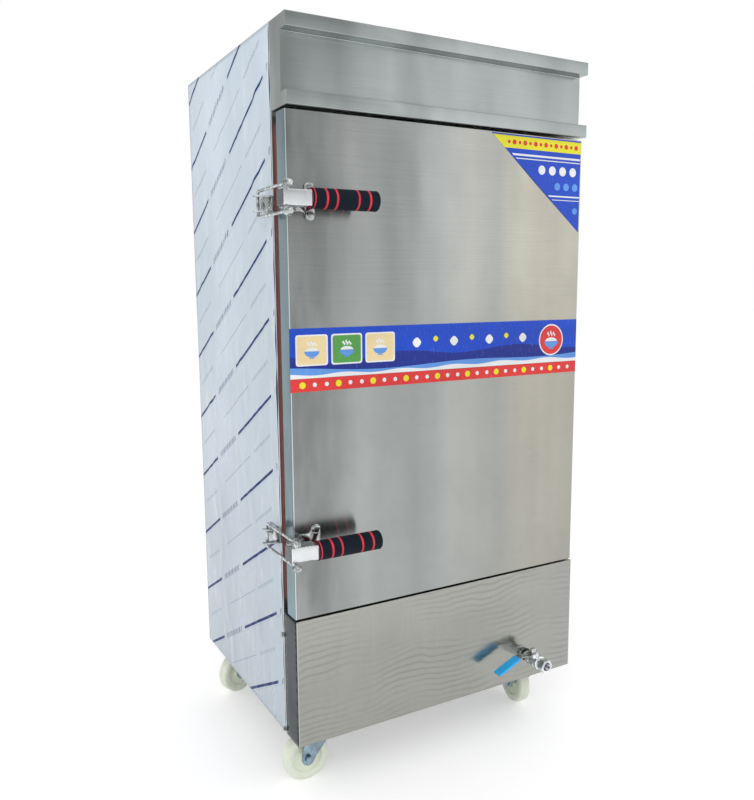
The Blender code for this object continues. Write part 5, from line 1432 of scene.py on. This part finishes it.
@dataclass
class Body:
    """Carried-over sheets and fittings of the cabinet, with their screws, hinge screws and vent."""

    finishes: dict[str, Finish] = field(default_factory=lambda: {
        "left_side_panel": Finish.FILMED, "right_side_panel": Finish.BODY, "back_panel": Finish.BODY,
        "top_panel": Finish.BODY, "front_frame": Finish.BODY, "base_frame": Finish.PLAIN_STEEL,
        "chamber_liner": Finish.CHAMBER, "insulation": Finish.INSULATION, "water_tank": Finish.CHAMBER,
        "water_inlet": Finish.CHROME, "heating_element": Finish.SHEATH, "terminal_cover": Finish.TERMINAL,
        "steam_plate": Finish.CHAMBER, "tray_rack_left": Finish.CHAMBER, "tray_rack_right": Finish.CHAMBER,
        "tray_1": Finish.CHAMBER, "tray_2": Finish.CHAMBER, "tray_3": Finish.CHAMBER,
        "tray_4": Finish.CHAMBER, "drain_pipe": Finish.CHROME})
    hinges: tuple[tuple[str, float], ...] = (("lower", 0.543), ("upper", 1.169))
    leaf: float = 0.0020
    leaf_aside: float = 0.004
    screw_step: float = 0.032
    back_screws: tuple[float, ...] = (0.30, 0.62, 0.94, 1.26)
    back_screw_x: float = 0.335
    vent_y: float = 0.4015
    vent_low: float = 1.2845
    vent_top: float = 1.533
    vent_radii: tuple[float, float] = (0.011, 0.0135)

    def build(self) -> None:
        """Dress the nodes and add the fasteners and the vent pipe."""
        for node, finish in self.finishes.items():
            finish_node(node, finish)
        for i, height in enumerate(SIDE_SCREWS):
            for side, name in SIDES:
                seat = (side * (HALF_WIDTH + 0.0001), 0.0062, height)
                piece = hex_head(f"{name}_side_screw_{i + 1}", seat, (side, 0, 0), 0.0043, 0.0032, 0.0052)
                dress(piece, Finish.BRIGHT, "cabinet")
        for i, height in enumerate(self.back_screws):
            for side, name in SIDES:
                seat = (side * self.back_screw_x, BODY_DEPTH - 0.0015, height)
                dress(screw(f"back_{name}_screw_{i + 1}", seat, Y_AXIS, 0.0038), Finish.BRIGHT, "cabinet")
        for name, height in self.hinges:
            self.hinge(name, height)
        self.vent()

    def hinge(self, name: str, height: float) -> None:
        """Dress one hinge and give each leaf its three screws.

        Args:
            name: Which hinge.
            height: Height of its middle screws.
        """
        for leaf, body, aside in (("body", "cabinet", self.leaf_aside), ("door", "door", -self.leaf_aside)):
            node = f"hinge_{name}_{leaf}_leaf"
            finish_node(node, Finish.BRIGHT)
            low, high = (np.array(corner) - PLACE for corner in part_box(node))
            middle, outer = (low[1] + high[1]) / 2 + aside, low[0] + self.leaf
            heads = [screw("head", (outer, middle, height + step), X_AXIS, 0.0036)
                     for step in (-self.screw_step, 0.0, self.screw_step)]
            dress(unite(f"hinge_{name}_{leaf}_screws", heads), Finish.ZINC, body)

    def vent(self) -> None:
        """Steam vent: a pipe with a rolled lip, through a pressed flange."""
        (inner, outer), top, seat = self.vent_radii, self.vent_top, BODY_TOP + SEAM
        roll = (outer - inner) / 2
        flange = [(outer, seat), (0.030, seat), (0.030, seat + 0.0011), (0.0290, seat + 0.0015),
                  (0.0160, seat + 0.0016), (0.0145, seat + 0.0024), (outer, seat + 0.004)]
        section = [(inner, self.vent_low), (outer, self.vent_low), *flange,
                   *arc((inner + roll, top - roll), roll, 0, 180, 8)]
        pipe = ringed("roof_vent_pipe", section, (0, self.vent_y, 0), Z_AXIS, 48)
        dress(crisp(pipe, 50), Finish.BRIGHT, "cabinet", "steam_vent")


# Toggle latches


@dataclass
class Latch:
    """Over-centre toggle latch: strike, bracket, channel lever, bail with acorn nuts, foam grip."""

    name: str
    height: float
    pivot: tuple[float, float] = (-0.3715, -0.0955)
    trunnion: tuple[float, float] = (-0.3705, -0.1095)
    half: float = 0.0135
    strike_sheet: float = 0.0025
    strike_half: float = 0.015
    strike_ends: tuple[float, float] = (0.002, 0.060)
    strike_bolts: tuple[float, float] = (0.012, 0.050)
    hook: float = 0.030
    bracket_sheet: float = 0.003
    bracket_x: tuple[float, float, float] = (-0.345, -0.3145, -0.2955)
    bracket_z: tuple[float, float] = (0.018, 0.0335)
    bolt_x: float = -0.305
    bolt_step: float = 0.024
    arm_sheet: float = 0.0035
    arm_root: float = -0.332
    lug: float = 0.007
    pin: float = 0.003
    pin_half: float = 0.019
    lever_sheet: float = 0.002
    lever_ends: tuple[float, float] = (-0.009, 0.043)
    lever_depth: tuple[float, float] = (-0.0235, 0.0055)
    lever_step: float = 0.005
    lever_crown: float = 0.0012
    wire: float = 0.003
    leg: float = 0.0235
    bail_bar: float = 0.0263
    bail_bend: float = 0.006
    bail_end: float = 0.0125
    thread_step: float = 0.0009
    trunnion_radius: float = 0.005
    trunnion_half: float = 0.029
    grip_ends: tuple[float, float] = (-0.3282, -0.1952)
    grip_axis: float = -0.1115
    grip_radius: float = 0.0185
    grip_bore: float = 0.0063
    grip_round: float = 0.003
    rings: tuple[float, ...] = (0.0270, 0.0465, 0.0893, 0.1125)
    end_ring: float = 0.0034
    ring_width: float = 0.0046

    def build(self) -> None:
        """Build every piece of the latch on its own body."""
        self.strike()
        self.bracket()
        self.lever()
        self.bail()
        self.grip()

    def strike(self) -> None:
        """Strike plate on the side sheet with two hooks and two bolts."""
        z, back, sheet, half = self.height, -HALF_WIDTH - SEAM, self.strike_sheet, self.strike_half
        (start, end), face = self.strike_ends, back - sheet
        root, tip = back - 0.0005, face - self.hook
        outline = rectangle(start, z - half, end, z + half, 0.003)
        hook = rounded_outline([(root, 0.0045), (root, 0.023), (tip, 0.023), (tip, 0.014),
                                (face - sheet, 0.0045)], 0.0022)
        parts = [cut_plate("plate", outline, sheet, (face, 0, 0), Y_AXIS, Z_AXIS, 0.0005)]
        parts += [cut_plate("hook", hook, sheet, (0, 0, low), X_AXIS, Y_AXIS, 0.0005)
                  for low in (z - half, z + half - sheet)]
        parts += [hex_head("bolt", (face, y, z), (-1, 0, 0)) for y in self.strike_bolts]
        dress(unite(f"{self.name}_strike_plate", parts), Finish.BRIGHT, "cabinet", f"{self.name}_strike")

    def bracket(self) -> None:
        """Bracket on the door: rounded plate, two lugged arms, riveted pivot pin and two bolts."""
        z, (px, py), sheet, back = self.height, self.pivot, self.bracket_sheet, DOOR_FRONT - SEAM
        front, (left, ear, right), (low, tall) = back - sheet, self.bracket_x, self.bracket_z
        upper = [(right, z + tall), (ear, z + tall), (ear, z + low), (left, z + low)]
        view = [*[(x, 2 * z - h) for x, h in reversed(upper)], *upper]
        view = rounded_outline(view, 0.0085, 6)
        parts = [cut_plate("plate", view, sheet, (0, back, 0), X_AXIS, Z_AXIS, 0.0006)]
        arm = np.array([*arc(self.pivot, self.lug, 110, 290, 10), (self.arm_root, front - 0.0005),
                        (self.arm_root, front + 0.0015), (left, front + 0.0015)])
        for under in (z + self.half + 0.0005, z - self.half - 0.0005 - self.arm_sheet):
            parts.append(cut_plate("arm", arm, self.arm_sheet, (0, 0, under), X_AXIS, Y_AXIS, 0.0006))
        r, half, inner = self.pin, self.pin_half, self.pin_half - 0.0013
        upper = [(r, inner), (r * 1.5, inner), (r * 1.5, half - 0.0006), (r * 0.9, half + 0.0002),
                 (0.0, half + 0.0004)]
        rivet = [*[(a, -h) for a, h in reversed(upper)], *upper]
        parts.append(crisp(turned("pin", rivet, (px, py, z), Z_AXIS, 24), 30))
        parts += [hex_head("bolt", (self.bolt_x, front, z + step), AHEAD)
                  for step in (-self.bolt_step, self.bolt_step)]
        dress(unite(f"{self.name}_bracket_plate", parts), Finish.BRIGHT, "door", f"{self.name}_bracket")

    def lever(self) -> None:
        """Pressed channel whose front runs forward to the grip's end."""
        z, (px, py), (tx, ty) = self.height, self.pivot, self.trunnion
        (left, right), (ahead, rear) = self.lever_ends, self.lever_depth
        front = py + ahead

        def taper(p: Points) -> Points:
            """The front moves ahead over its last 13 mm, and is crowned by 1 - (z / half)^2."""
            x, y, height = p.T
            along = np.clip((x - (px + 0.031)) / 0.013, 0, 1)
            near = np.clip((self.grip_axis + 0.004 - y) / 0.012, 0, 1)
            q = p.copy()
            q[:, 1] += (self.lever_crown * ((height - z) / self.half) ** 2 * (y < front + TOUCHING)
                        - self.lever_step * along * near)
            return q

        corners = (px + left, front, z - self.half), (px + right, py + rear, z + self.half)
        channel = sheet_box("channel", *corners, (24, 10, 12), taper, self.lever_sheet, 0.0028)
        profile = [(0.0042, 0.0), (0.0040, 0.0007), (0.0028, 0.0013), (0.0, 0.0015)]
        heads = [turned("rivet", profile, (tx, ty, z + side * self.half), (0, 0, side), 20)
                 for side in (-1, 1)]
        dress(unite(f"{self.name}_lever_channel", [channel, *heads]), Finish.SATIN,
              f"{self.name}_lever", f"{self.name}_lever")

    def bail(self) -> None:
        """Wire bail round the strike's hooks, its trunnion bar and two acorn nuts with washers."""
        z, (tx, ty), leg, bend = self.height, self.trunnion, self.leg, self.bail_bend
        turn = arc((self.bail_bar - bend, leg - bend), bend, 90, 0, 8)
        upper = [(ty - self.bail_end, leg), (ty, leg), *map(tuple, turn)]
        path = [(tx, y, z + h) for y, h in [*upper, *[(y, -h) for y, h in reversed(upper)]]]
        parts = [swept("wire", path, circle(self.wire), X_AXIS)]
        rows = [(self.wire * (1.05 if i % 2 else 0.97), self.thread_step * i) for i in range(9)]
        for side in (-1, 1):
            height = z + side * leg
            parts += [turned("thread", rows, (tx, ty + 0.006, height), Y_AXIS, 16),
                      hex_head("nut", (tx, ty - 0.0053, height), AHEAD, 0.0083, 0.0070, 0.0085, True)]
        body = f"{self.name}_bail"
        dress(unite(f"{self.name}_bail_wire", parts), Finish.WIRE, body, body)
        r, half = self.trunnion_radius, self.trunnion_half
        profile = [(0.0, -half), (r - 0.0008, -half), (r, -half + 0.0008), (r, half - 0.0008),
                   (r - 0.0008, half), (0.0, half)]
        rod = crisp(turned(f"{self.name}_trunnion_bar", profile, (tx, ty, z), Z_AXIS), 30)
        dress(rod, Finish.BRIGHT, body, f"{self.name}_trunnion")

    def grip(self) -> None:
        """Foam sleeve: a turned body with soft ends, a slight swell, and five coloured rings let in."""
        r, end, (start, stop) = self.grip_radius, self.grip_round, self.grip_ends
        seat, length, lever = (start, self.grip_axis, self.height), stop - start, f"{self.name}_lever"
        s = np.linspace(0, 1, 40)[1:-1]
        swell = np.stack([r - 0.00035 + 0.00025 * np.sin(np.pi * s), end + (length - 2 * end) * s], axis=1)
        section = [(self.grip_bore, 0.0), *arc((r - end, end), end, -90, 0, 5), *swell,
                   *arc((r - end, length - end), end, 0, 90, 5), (0.0, length)]
        foam = turned(f"{self.name}_foam_grip", section, seat, X_AXIS, 48)
        dress(crisp(foam, 50), Finish.GRIP, lever, f"{self.name}_grip")
        half = self.ring_width / 2
        top = self.end_ring + half
        loops = [[(r - 0.004, 0.0002), (r - 0.0028, -0.0001), (r - 0.0012, 0.0006), (r - 0.0003, 0.0018),
                  (r, 0.003), (r, top - 0.001), (r - 0.0004, top), (r - 0.004, top)]]
        for place in self.rings:
            low, high = place - half, place + half
            loops.append([(r - 0.002, low), (r - 0.0004, low), (r - 0.0001, low + 0.0004), (r, low + 0.001),
                          (r, high - 0.001), (r - 0.0001, high - 0.0004), (r - 0.0004, high),
                          (r - 0.002, high)])
        rings = [ringed("ring", loop, seat, X_AXIS, 48) for loop in loops]
        dress(unite(f"{self.name}_grip_rings", rings), Finish.RING, lever)


# Casters


@dataclass
class Caster:
    """Swivel caster: mounting plate with bolts, ball race, pressed fork, axle nut and nylon wheel."""

    name: str
    x: float
    y: float
    yaw: float
    trail: float = 0.028
    top: float = 0.1237
    plate_half: float = 0.038
    plate_sheet: float = 0.0035
    bolt_step: float = 0.029
    race_depth: float = 0.003
    cup: float = 0.0270
    cup_depth: float = 0.012
    fork_sheet: float = 0.003
    fork_half: float = 0.0198
    fork_ends: tuple[float, float] = (-0.026, 0.029)
    foot: float = 0.0140
    axle: float = 0.004
    axle_half: float = 0.0252
    wheel_radius: float = 0.04885
    wheel_half: float = 0.014

    def frame(self) -> Points:
        """Unit vectors of the fork: ahead, sideways and up."""
        a = math.radians(self.yaw)
        return np.array([(math.cos(a), math.sin(a), 0.0), (-math.sin(a), math.cos(a), 0.0), (0.0, 0.0, 1.0)])

    def at(self, ahead: float, side: float, up: float) -> Points:
        """Point of the fork's own frame in the cabinet's axes."""
        return np.array([self.x, self.y, 0.0]) + np.array([ahead, side, up]) @ self.frame()

    def build(self) -> None:
        """Build the plate, fork and wheel on their bodies."""
        x, y, half, sheet, step = self.x, self.y, self.plate_half, self.plate_sheet, self.bolt_step
        low = self.top - sheet
        square = rectangle(x - half, y - half, x + half, y + half, 0.006)
        plate = cut_plate("plate", square, sheet, (0, 0, low), X_AXIS, Y_AXIS, 0.0005)
        profile = [(0.0, 0.0), (0.021, 0.0), (0.0238, -0.0006), (0.0240, -self.race_depth),
                   (0.0, -self.race_depth)]
        race = crisp(turned("race", profile, (x, y, low + 0.0001), Z_AXIS, 40))
        bolts = [hex_head("bolt", (x + i * step, y + j * step, low), (0, 0, -1), 0.0055, 0.004, 0.0)
                 for i in (-1, 1) for j in (-1, 1)]
        dress(unite(f"caster_{self.name}_top_plate", [plate, race, *bolts]), Finish.ZINC, "cabinet",
              f"caster_{self.name}_plate")
        self.fork(low - self.race_depth - SEAM)
        self.wheel()

    def fork(self, top: float) -> None:
        """Pressed fork: cup over the race, bridge, two shaped legs, axle and two hexagon nuts.

        Args:
            top: Height of the cup's top.
        """
        ahead, side, _ = self.frame()
        low, sheet, cup, half = top - self.cup_depth, self.fork_sheet, self.cup, self.fork_half
        rear, front = self.fork_ends
        profile = [(0.0, top), (cup - 0.0008, top), (cup, top - 0.001), (cup, top - 0.0048),
                   (cup - 0.0022, top - 0.0065), (cup - 0.0030, top - 0.0115), (cup - 0.0008, low - 0.0002),
                   (0.0, low - 0.0002)]
        parts = [crisp(turned("cup", profile, (self.x, self.y, 0), Z_AXIS, 48), 40)]
        bridge = rectangle(rear, -half, front, half, 0.004)
        parts.append(cut_plate("bridge", bridge, sheet, self.at(0, 0, low - sheet), ahead, side, 0.0007))
        leg = [(front, low - 0.0004), (rear, low - 0.0004), (rear, low - 0.011),
               *arc((self.trail, self.wheel_radius), self.foot, 190, 355, 14),
               (0.0405, self.wheel_radius + 0.020), (front, low - 0.010)]
        leg = rounded_outline(leg, 0.0018, 3)
        for y in (sheet - half, half):
            parts.append(cut_plate("leg", leg, sheet, self.at(0, y, 0), ahead, Z_AXIS, 0.0006))
        r, end, centre = self.axle, self.axle_half, self.at(self.trail, 0, self.wheel_radius)
        profile = [(0.0, -end), (r - 0.0005, -end), (r, 0.0006 - end), (r, end - 0.0006), (r - 0.0005, end),
                   (0.0, end)]
        parts.append(crisp(turned("axle", profile, centre, side, 20), 30))
        for way in (-1, 1):
            seat = self.at(self.trail, way * half, self.wheel_radius)
            parts.append(hex_head("nut", seat, side * way, 0.0090, 0.0055, 0.0))
        dress(unite(f"caster_{self.name}_fork_frame", parts), Finish.ZINC, f"caster_{self.name}_fork",
              f"caster_{self.name}_fork")

    def wheel(self) -> None:
        """Moulded wheel: crowned tread, rim shoulder, recessed web, hub and bearing rings."""
        side, r, half = self.frame()[1], self.wheel_radius, self.wheel_half
        face = [(0.0043, 0.0160), (0.0125, 0.0160), (0.0150, 0.0150), (0.0155, 0.0095), (0.0170, 0.0088),
                (0.0295, 0.0088), (0.0312, 0.0098), (0.0322, 0.0132), (0.0335, half), (0.0440, half),
                (0.0462, 0.0132), (0.0478, 0.0112), (0.0486, 0.0085), (r - 0.0001, 0.0045), (r, 0.0)]
        ring = [(0.0060, 0.0158), (0.0092, 0.0158), (0.0095, 0.0161), (0.0062, 0.0163)]
        centre = self.at(self.trail, 0, r)
        tyre = face + [(a, -h) for a, h in reversed(face[:-1])]
        parts = [crisp(ringed("tyre", tyre, centre, side, 64), 34)]
        parts += [ringed("race", [(a, way * h) for a, h in ring], centre, side) for way in (-1, 1)]
        dress(unite(f"caster_{self.name}_nylon_wheel", parts), Finish.NYLON, f"caster_{self.name}_wheel",
              f"caster_{self.name}_wheel")


# Drain valve


@dataclass
class Valve:
    """Ball valve on the drain pipe: chamfered hexagons, barrel, boss, stem nut and cranked handle."""

    x: float = 0.219
    z: float = 0.177
    pipe_end: float = -0.0737
    bore: float = 0.0078
    tilt: float = 22.4
    stem_y: float = -0.099
    handle_low: float = 0.0258
    thick: float = 0.0024
    hexagons: Rows = ((0.016, 0.0, 0.012, 0.0078), (0.0165, 0.044, 0.060, 0.0106))
    thread_step: float = 0.0009
    shoulder: float = 0.0243
    stem_step: float = 0.0007
    strip_width: float = 0.017
    strip_ends: tuple[float, float] = (-0.0078, 0.103)
    crank: tuple[float, float] = (0.0158, 0.034)
    rise: float = 0.013
    sleeve_start: float = 0.043
    sleeve_length: float = 0.062
    sleeve_half: tuple[float, float] = (0.01075, 0.0031)
    sleeve_rows: int = 34

    def axes(self) -> tuple[Points, Points, Points]:
        """Unit vectors of the handle: along it, across it (ahead) and up its stem."""
        a = math.radians(self.tilt)
        return (np.array([-math.cos(a), 0, -math.sin(a)]), np.array([0.0, -1.0, 0.0]),
                np.array([-math.sin(a), 0, math.cos(a)]))

    def at(self, along: float, across: float, up: float) -> Points:
        """Point of the handle's own frame in the cabinet's axes."""
        return np.array([self.x, self.stem_y, self.z]) + np.array([along, across, up]) @ np.stack(self.axes())

    def build(self) -> None:
        """Build the body, stem, handle and sleeve."""
        self.body()
        self.stem()
        self.handle()
        self.sleeve()

    def body(self) -> None:
        """Two hexagons with turned-down corners, a grooved barrel, a threaded mouth and a boss."""
        centre = (self.x, self.pipe_end - SEAM, self.z)
        parts = []
        for r, low, high, bore in self.hexagons:
            section = [(bore, low), (r * 0.93, low), (r, low + 0.0013), (r, high - 0.0013), (r * 0.93, high),
                       (bore + 0.0008, high), (bore, high - 0.0008)]
            parts.append(crisp(ringed("hex", section, centre, AHEAD, 6), 20))
        barrel = [(self.bore, 0.0118), (0.0138, 0.0118), (0.0150, 0.0132), (0.0150, 0.0290), (0.0146, 0.0298),
                  (0.0146, 0.0312), (0.0150, 0.0320), (0.0150, 0.0368), (0.0138, 0.0382), (0.0120, 0.0386),
                  (0.0120, 0.0442), (self.bore, 0.0442)]
        parts.append(crisp(ringed("barrel", barrel, centre, AHEAD, 48), 30))
        threads = [(0.0100 if i % 2 else 0.0094, 0.0592 - self.thread_step * i) for i in range(13)]
        mouth = [(0.0106, 0.0596), *threads, (0.0106, 0.0480)]
        parts.append(crisp(ringed("thread", mouth, centre, AHEAD, 36), 20))
        boss = [(0.0, 0.0), (0.0085, 0.0), (0.0085, 0.0195), (0.0078, 0.0205), (0.0078, 0.0215),
                (0.0085, 0.0222), (0.0082, 0.0238), (0.0, 0.0238)]
        parts.append(crisp(turned("boss", boss, self.at(0, 0, 0), self.axes()[2], 36), 30))
        dress(unite("valve_ball_body", parts), Finish.CHROME, "cabinet", "valve_body")

    def stem(self) -> None:
        """Collar, threaded rod and nut that hold the handle."""
        up = self.axes()[2]
        collar = [(0.0, 0.0), (0.0078, 0.0), (0.0082, 0.0004), (0.0082, 0.0010), (0.0, 0.0012)]
        threads = [(0.0045 if i % 2 else 0.0041, 0.0245 + self.stem_step * i) for i in range(14)]
        rod = [(0.0, 0.0245), *threads, (0.0036, 0.0346), (0.0, 0.0348)]
        top = self.handle_low + self.thick + 0.0002
        parts = [turned("collar", collar, self.at(0, 0, self.shoulder), up),
                 hex_head("nut", self.at(0, 0, top), up, 0.0078, 0.0048, 0.0),
                 crisp(turned("rod", rod, self.at(0, 0, 0), up, 20), 25)]
        dress(unite("valve_stem_and_nut", parts), Finish.CHROME, "valve_handle", "valve_stem")

    def handle(self) -> None:
        """Cranked strip along a rounded line."""
        along, _, up = self.axes()
        low, (start, end), (foot, head) = self.handle_low, self.strip_ends, self.crank
        high = low + self.rise
        line = rounded_line([(start, low), (foot, low), (head, high), (end, high)], 0.006, 6)
        slope = np.gradient(line, axis=0)
        slope /= np.linalg.norm(slope, axis=1, keepdims=True)
        normal = np.stack([-slope[:, 1], slope[:, 0]], axis=1)
        view = np.concatenate([line, (line + normal * self.thick)[::-1]])
        side = self.at(0, self.strip_width / 2, 0)
        strip = cut_plate("strip", view, self.strip_width, side, along, up, 0.0005)
        dress(unite("valve_handle_strip", [strip]), Finish.BRIGHT, "valve_handle", "valve_handle")

    def sleeve(self) -> None:
        """Dipped vinyl sleeve on the strip's end: a rounded section whose size follows the length s.

        Width and rise grow as 0.84 + 0.16 sqrt(1 - (1 - g)^2), where g reaches 1 at 2 mm from each
        end, and the width also swells by 3% of sin(pi s).
        """
        along, across, up = self.axes()
        count, length, (wide, tall) = self.sleeve_rows, self.sleeve_length, self.sleeve_half
        s = (1 - np.cos(np.linspace(0, np.pi, count))) / 2
        g = np.clip(np.minimum(s * length, (1 - s) * length) / 0.0020, 0, 1)
        grow = 0.84 + 0.16 * np.sqrt(1 - (1 - g) ** 2)
        width, rise = wide * (0.97 + 0.03 * np.sin(np.pi * s)) * grow, tall * grow
        outline = rectangle(-1, -1, 1, 1, 0.40, 6)
        middle = self.at(0, 0, self.handle_low + self.rise + self.thick / 2)
        centre = middle + np.outer(self.sleeve_start + length * s, along)
        points = (centre[:, None] + (width[:, None] * outline[:, 0])[..., None] * across
                  + (rise[:, None] * outline[:, 1])[..., None] * up)
        last = (count - 1) * len(outline)
        faces = [*grid_faces(count, len(outline), wrap_columns=True).tolist(), list(range(len(outline))),
                 list(range(last, last + len(outline)))]
        sleeve = crisp(make_mesh("valve_handle_vinyl_sleeve", points, faces), 50)
        dress(sleeve, Finish.SLEEVE, "valve_handle", "handle_sleeve")


# Stage, lamps and camera


@dataclass(frozen=True)
class Lamp:
    """Square area lamp aimed at a point."""

    name: str
    place: tuple[float, float, float]
    target: tuple[float, float, float]
    size: float
    power: float

    def build(self) -> None:
        """Make the lamp."""
        data = bpy.data.lights.new(f"{self.name}_lamp", "AREA")
        data.energy, data.size = self.power, self.size
        lamp = bpy.data.objects.new(f"{self.name}_lamp", data)
        bpy.context.scene.collection.objects.link(lamp)
        lamp.location = self.place
        aim = Vector(self.target) - Vector(self.place)
        lamp.rotation_euler = aim.to_track_quat("-Z", "Y").to_euler()


@dataclass
class Studio:
    """White studio: floor that keeps the shadow, soft world, two area lamps and the camera."""

    position: tuple[float, float, float] = (-0.90595, -1.58945, 1.0159)
    azimuth: float = -29.277
    down: float = 8.122
    roll: float = -0.420
    lens: float = 35.52
    sensor: float = 36.0
    lamps: tuple[Lamp, ...] = (Lamp("key", (-2.6, -3.0, 3.4), (-0.1, 0.0, 0.7), 2.2, 34.0),
                               Lamp("fill", (3.0, -2.6, 2.2), (0.0, 0.0, 0.7), 3.1, 16.0))
    floor_rings: tuple[float, ...] = (0.0, 0.6, 1.2, 2.4, 5.0, 12.0, 30.0)
    floor_sides: int = 64
    floor_glow: float = 0.30
    level: float = 0.80
    glossy: float = 0.86
    bands: Rows = ((9.0, 2.6, 0.04), (23.0, 1.9, 0.07), (41.0, 4.0, 0.05))
    dusk_height: float = 0.42
    dusk_spread: float = 0.15
    dusk_depth: float = 0.50

    def build(self) -> None:
        """Make the floor, world, lamps and camera."""
        self.floor()
        self.world()
        for lamp in self.lamps:
            lamp.build()
        self.camera()

    def floor(self) -> None:
        """Pale floor: a disc grid with faint mottle, whose white comes from its own colour."""
        rings, sides = np.array(self.floor_rings), self.floor_sides
        points = np.insert(rings[:, None, None] * circle(1.0, sides), 2, 0.0, axis=2)
        faces = grid_faces(len(rings), sides, wrap_columns=True)
        floor = make_mesh("studio_floor", points - PLACE, faces, outward=False)
        if floor.data.polygons[sides].normal.z < 0:
            floor.data.flip_normals()
        w = Wiring("pale_floor")
        rays = w.node("LightPath").outputs
        seen = w.math("MAXIMUM", rays["Is Glossy Ray"], rays["Is Transmission Ray"])
        seen = w.math("MAXIMUM", rays["Is Camera Ray"], seen)
        pale = w.blend(w.noise((3.0, 3.0, 3.0)), (0.93, 0.93, 0.93, 1.0), (0.96, 0.96, 0.96, 1.0))
        w.set(Base_Color=pale, Roughness=0.7, Specular_IOR_Level=0.1, Emission_Color=(1.0, 1.0, 1.0, 1.0),
              Emission_Strength=w.times(seen, self.floor_glow))
        floor.data.materials.append(w.material)

    def world(self) -> None:
        """Soft world: a plain level for the light, white behind the object, and soft bands in metal.

        Glossy rays see that white too, lowered by the sum of depth x sin(pace x azimuth + start), and by
        exp(-((up - height) / spread)^2) for a dark band above the horizon, as a studio's walls would.
        """
        world = bpy.data.worlds.new("studio_world")
        bpy.context.scene.world = world
        world.use_nodes = True
        world.node_tree.nodes.clear()
        w = Nodes(world.node_tree)
        rays, way = w.node("LightPath").outputs, w.node("SeparateXYZ")
        w.feed(way.inputs[0], w.node("TexCoord").outputs["Generated"])
        turn = w.math("ARCTAN2", way.outputs[1], way.outputs[0])
        glossy = self.glossy
        for pace, start, depth in self.bands:
            wave = w.math("SINE", w.math("ADD", w.times(turn, pace), start))
            glossy = w.math("ADD", glossy, w.times(wave, depth))
        gap = w.math("DIVIDE", w.math("SUBTRACT", way.outputs[2], self.dusk_height), self.dusk_spread)
        dusk = w.math("POWER", math.e, w.times(gap, gap, -1.0))
        glossy = w.times(glossy, w.math("SUBTRACT", 1.0, w.times(dusk, self.dusk_depth)))
        white = w.math("MAXIMUM", rays["Is Camera Ray"], rays["Is Transmission Ray"])
        plain = w.math("MAXIMUM", white, self.level)
        change = w.times(rays["Is Glossy Ray"], w.math("SUBTRACT", glossy, plain))
        back = w.node("Background")
        w.feed(back.inputs["Color"], (1.0, 1.0, 1.0, 1.0))
        w.feed(back.inputs["Strength"], w.math("ADD", plain, change))
        w.feed(w.node("OutputWorld").inputs["Surface"], back.outputs[0])

    def camera(self) -> None:
        """Camera of the photograph: turned by azimuth, looking down, with a little roll."""
        az, el, ro = (math.radians(v) for v in (self.azimuth, self.down, self.roll))
        back = Vector((math.sin(az) * math.cos(el), -math.cos(az) * math.cos(el), math.sin(el)))
        right = (-back).cross(Vector((0, 0, 1))).normalized()
        up = right.cross(-back)
        cosine, sine = math.cos(ro), math.sin(ro)
        rolled = Matrix((right * cosine + up * sine, up * cosine - right * sine, back))
        data = bpy.data.cameras.new("camera")
        data.lens, data.sensor_width, data.sensor_fit = self.lens, self.sensor, "AUTO"
        camera = bpy.data.objects.new("camera", data)
        bpy.context.scene.collection.objects.link(camera)
        camera.matrix_world = Matrix.Translation(self.position) @ rolled.transposed().to_4x4()
        bpy.context.scene.camera = camera


def main() -> None:
    """Build every sub-assembly in order."""
    bpy.context.scene.view_settings.view_transform = "Standard"
    Studio().build()
    Body().build()
    Fascia().build()
    LowerPanel().build()
    SideFilm().build()
    Door().build()
    Banner().build()
    CornerSticker().build()
    for name, height in (("upper_latch", UPPER_LATCH), ("lower_latch", LOWER_LATCH)):
        Latch(name, height).build()
    for name, x, y, yaw in (("front_left", -0.275, 0.020, 180.0), ("front_right", 0.275, 0.020, 82.0),
                            ("rear_left", -0.275, 0.450, 197.0), ("rear_right", 0.275, 0.450, 40.0)):
        Caster(name, x, y, yaw).build()
    Valve().build()


if __name__ == "__main__":
    logging.basicConfig(level=logging.INFO, format="%(name)s %(message)s")
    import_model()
    main()
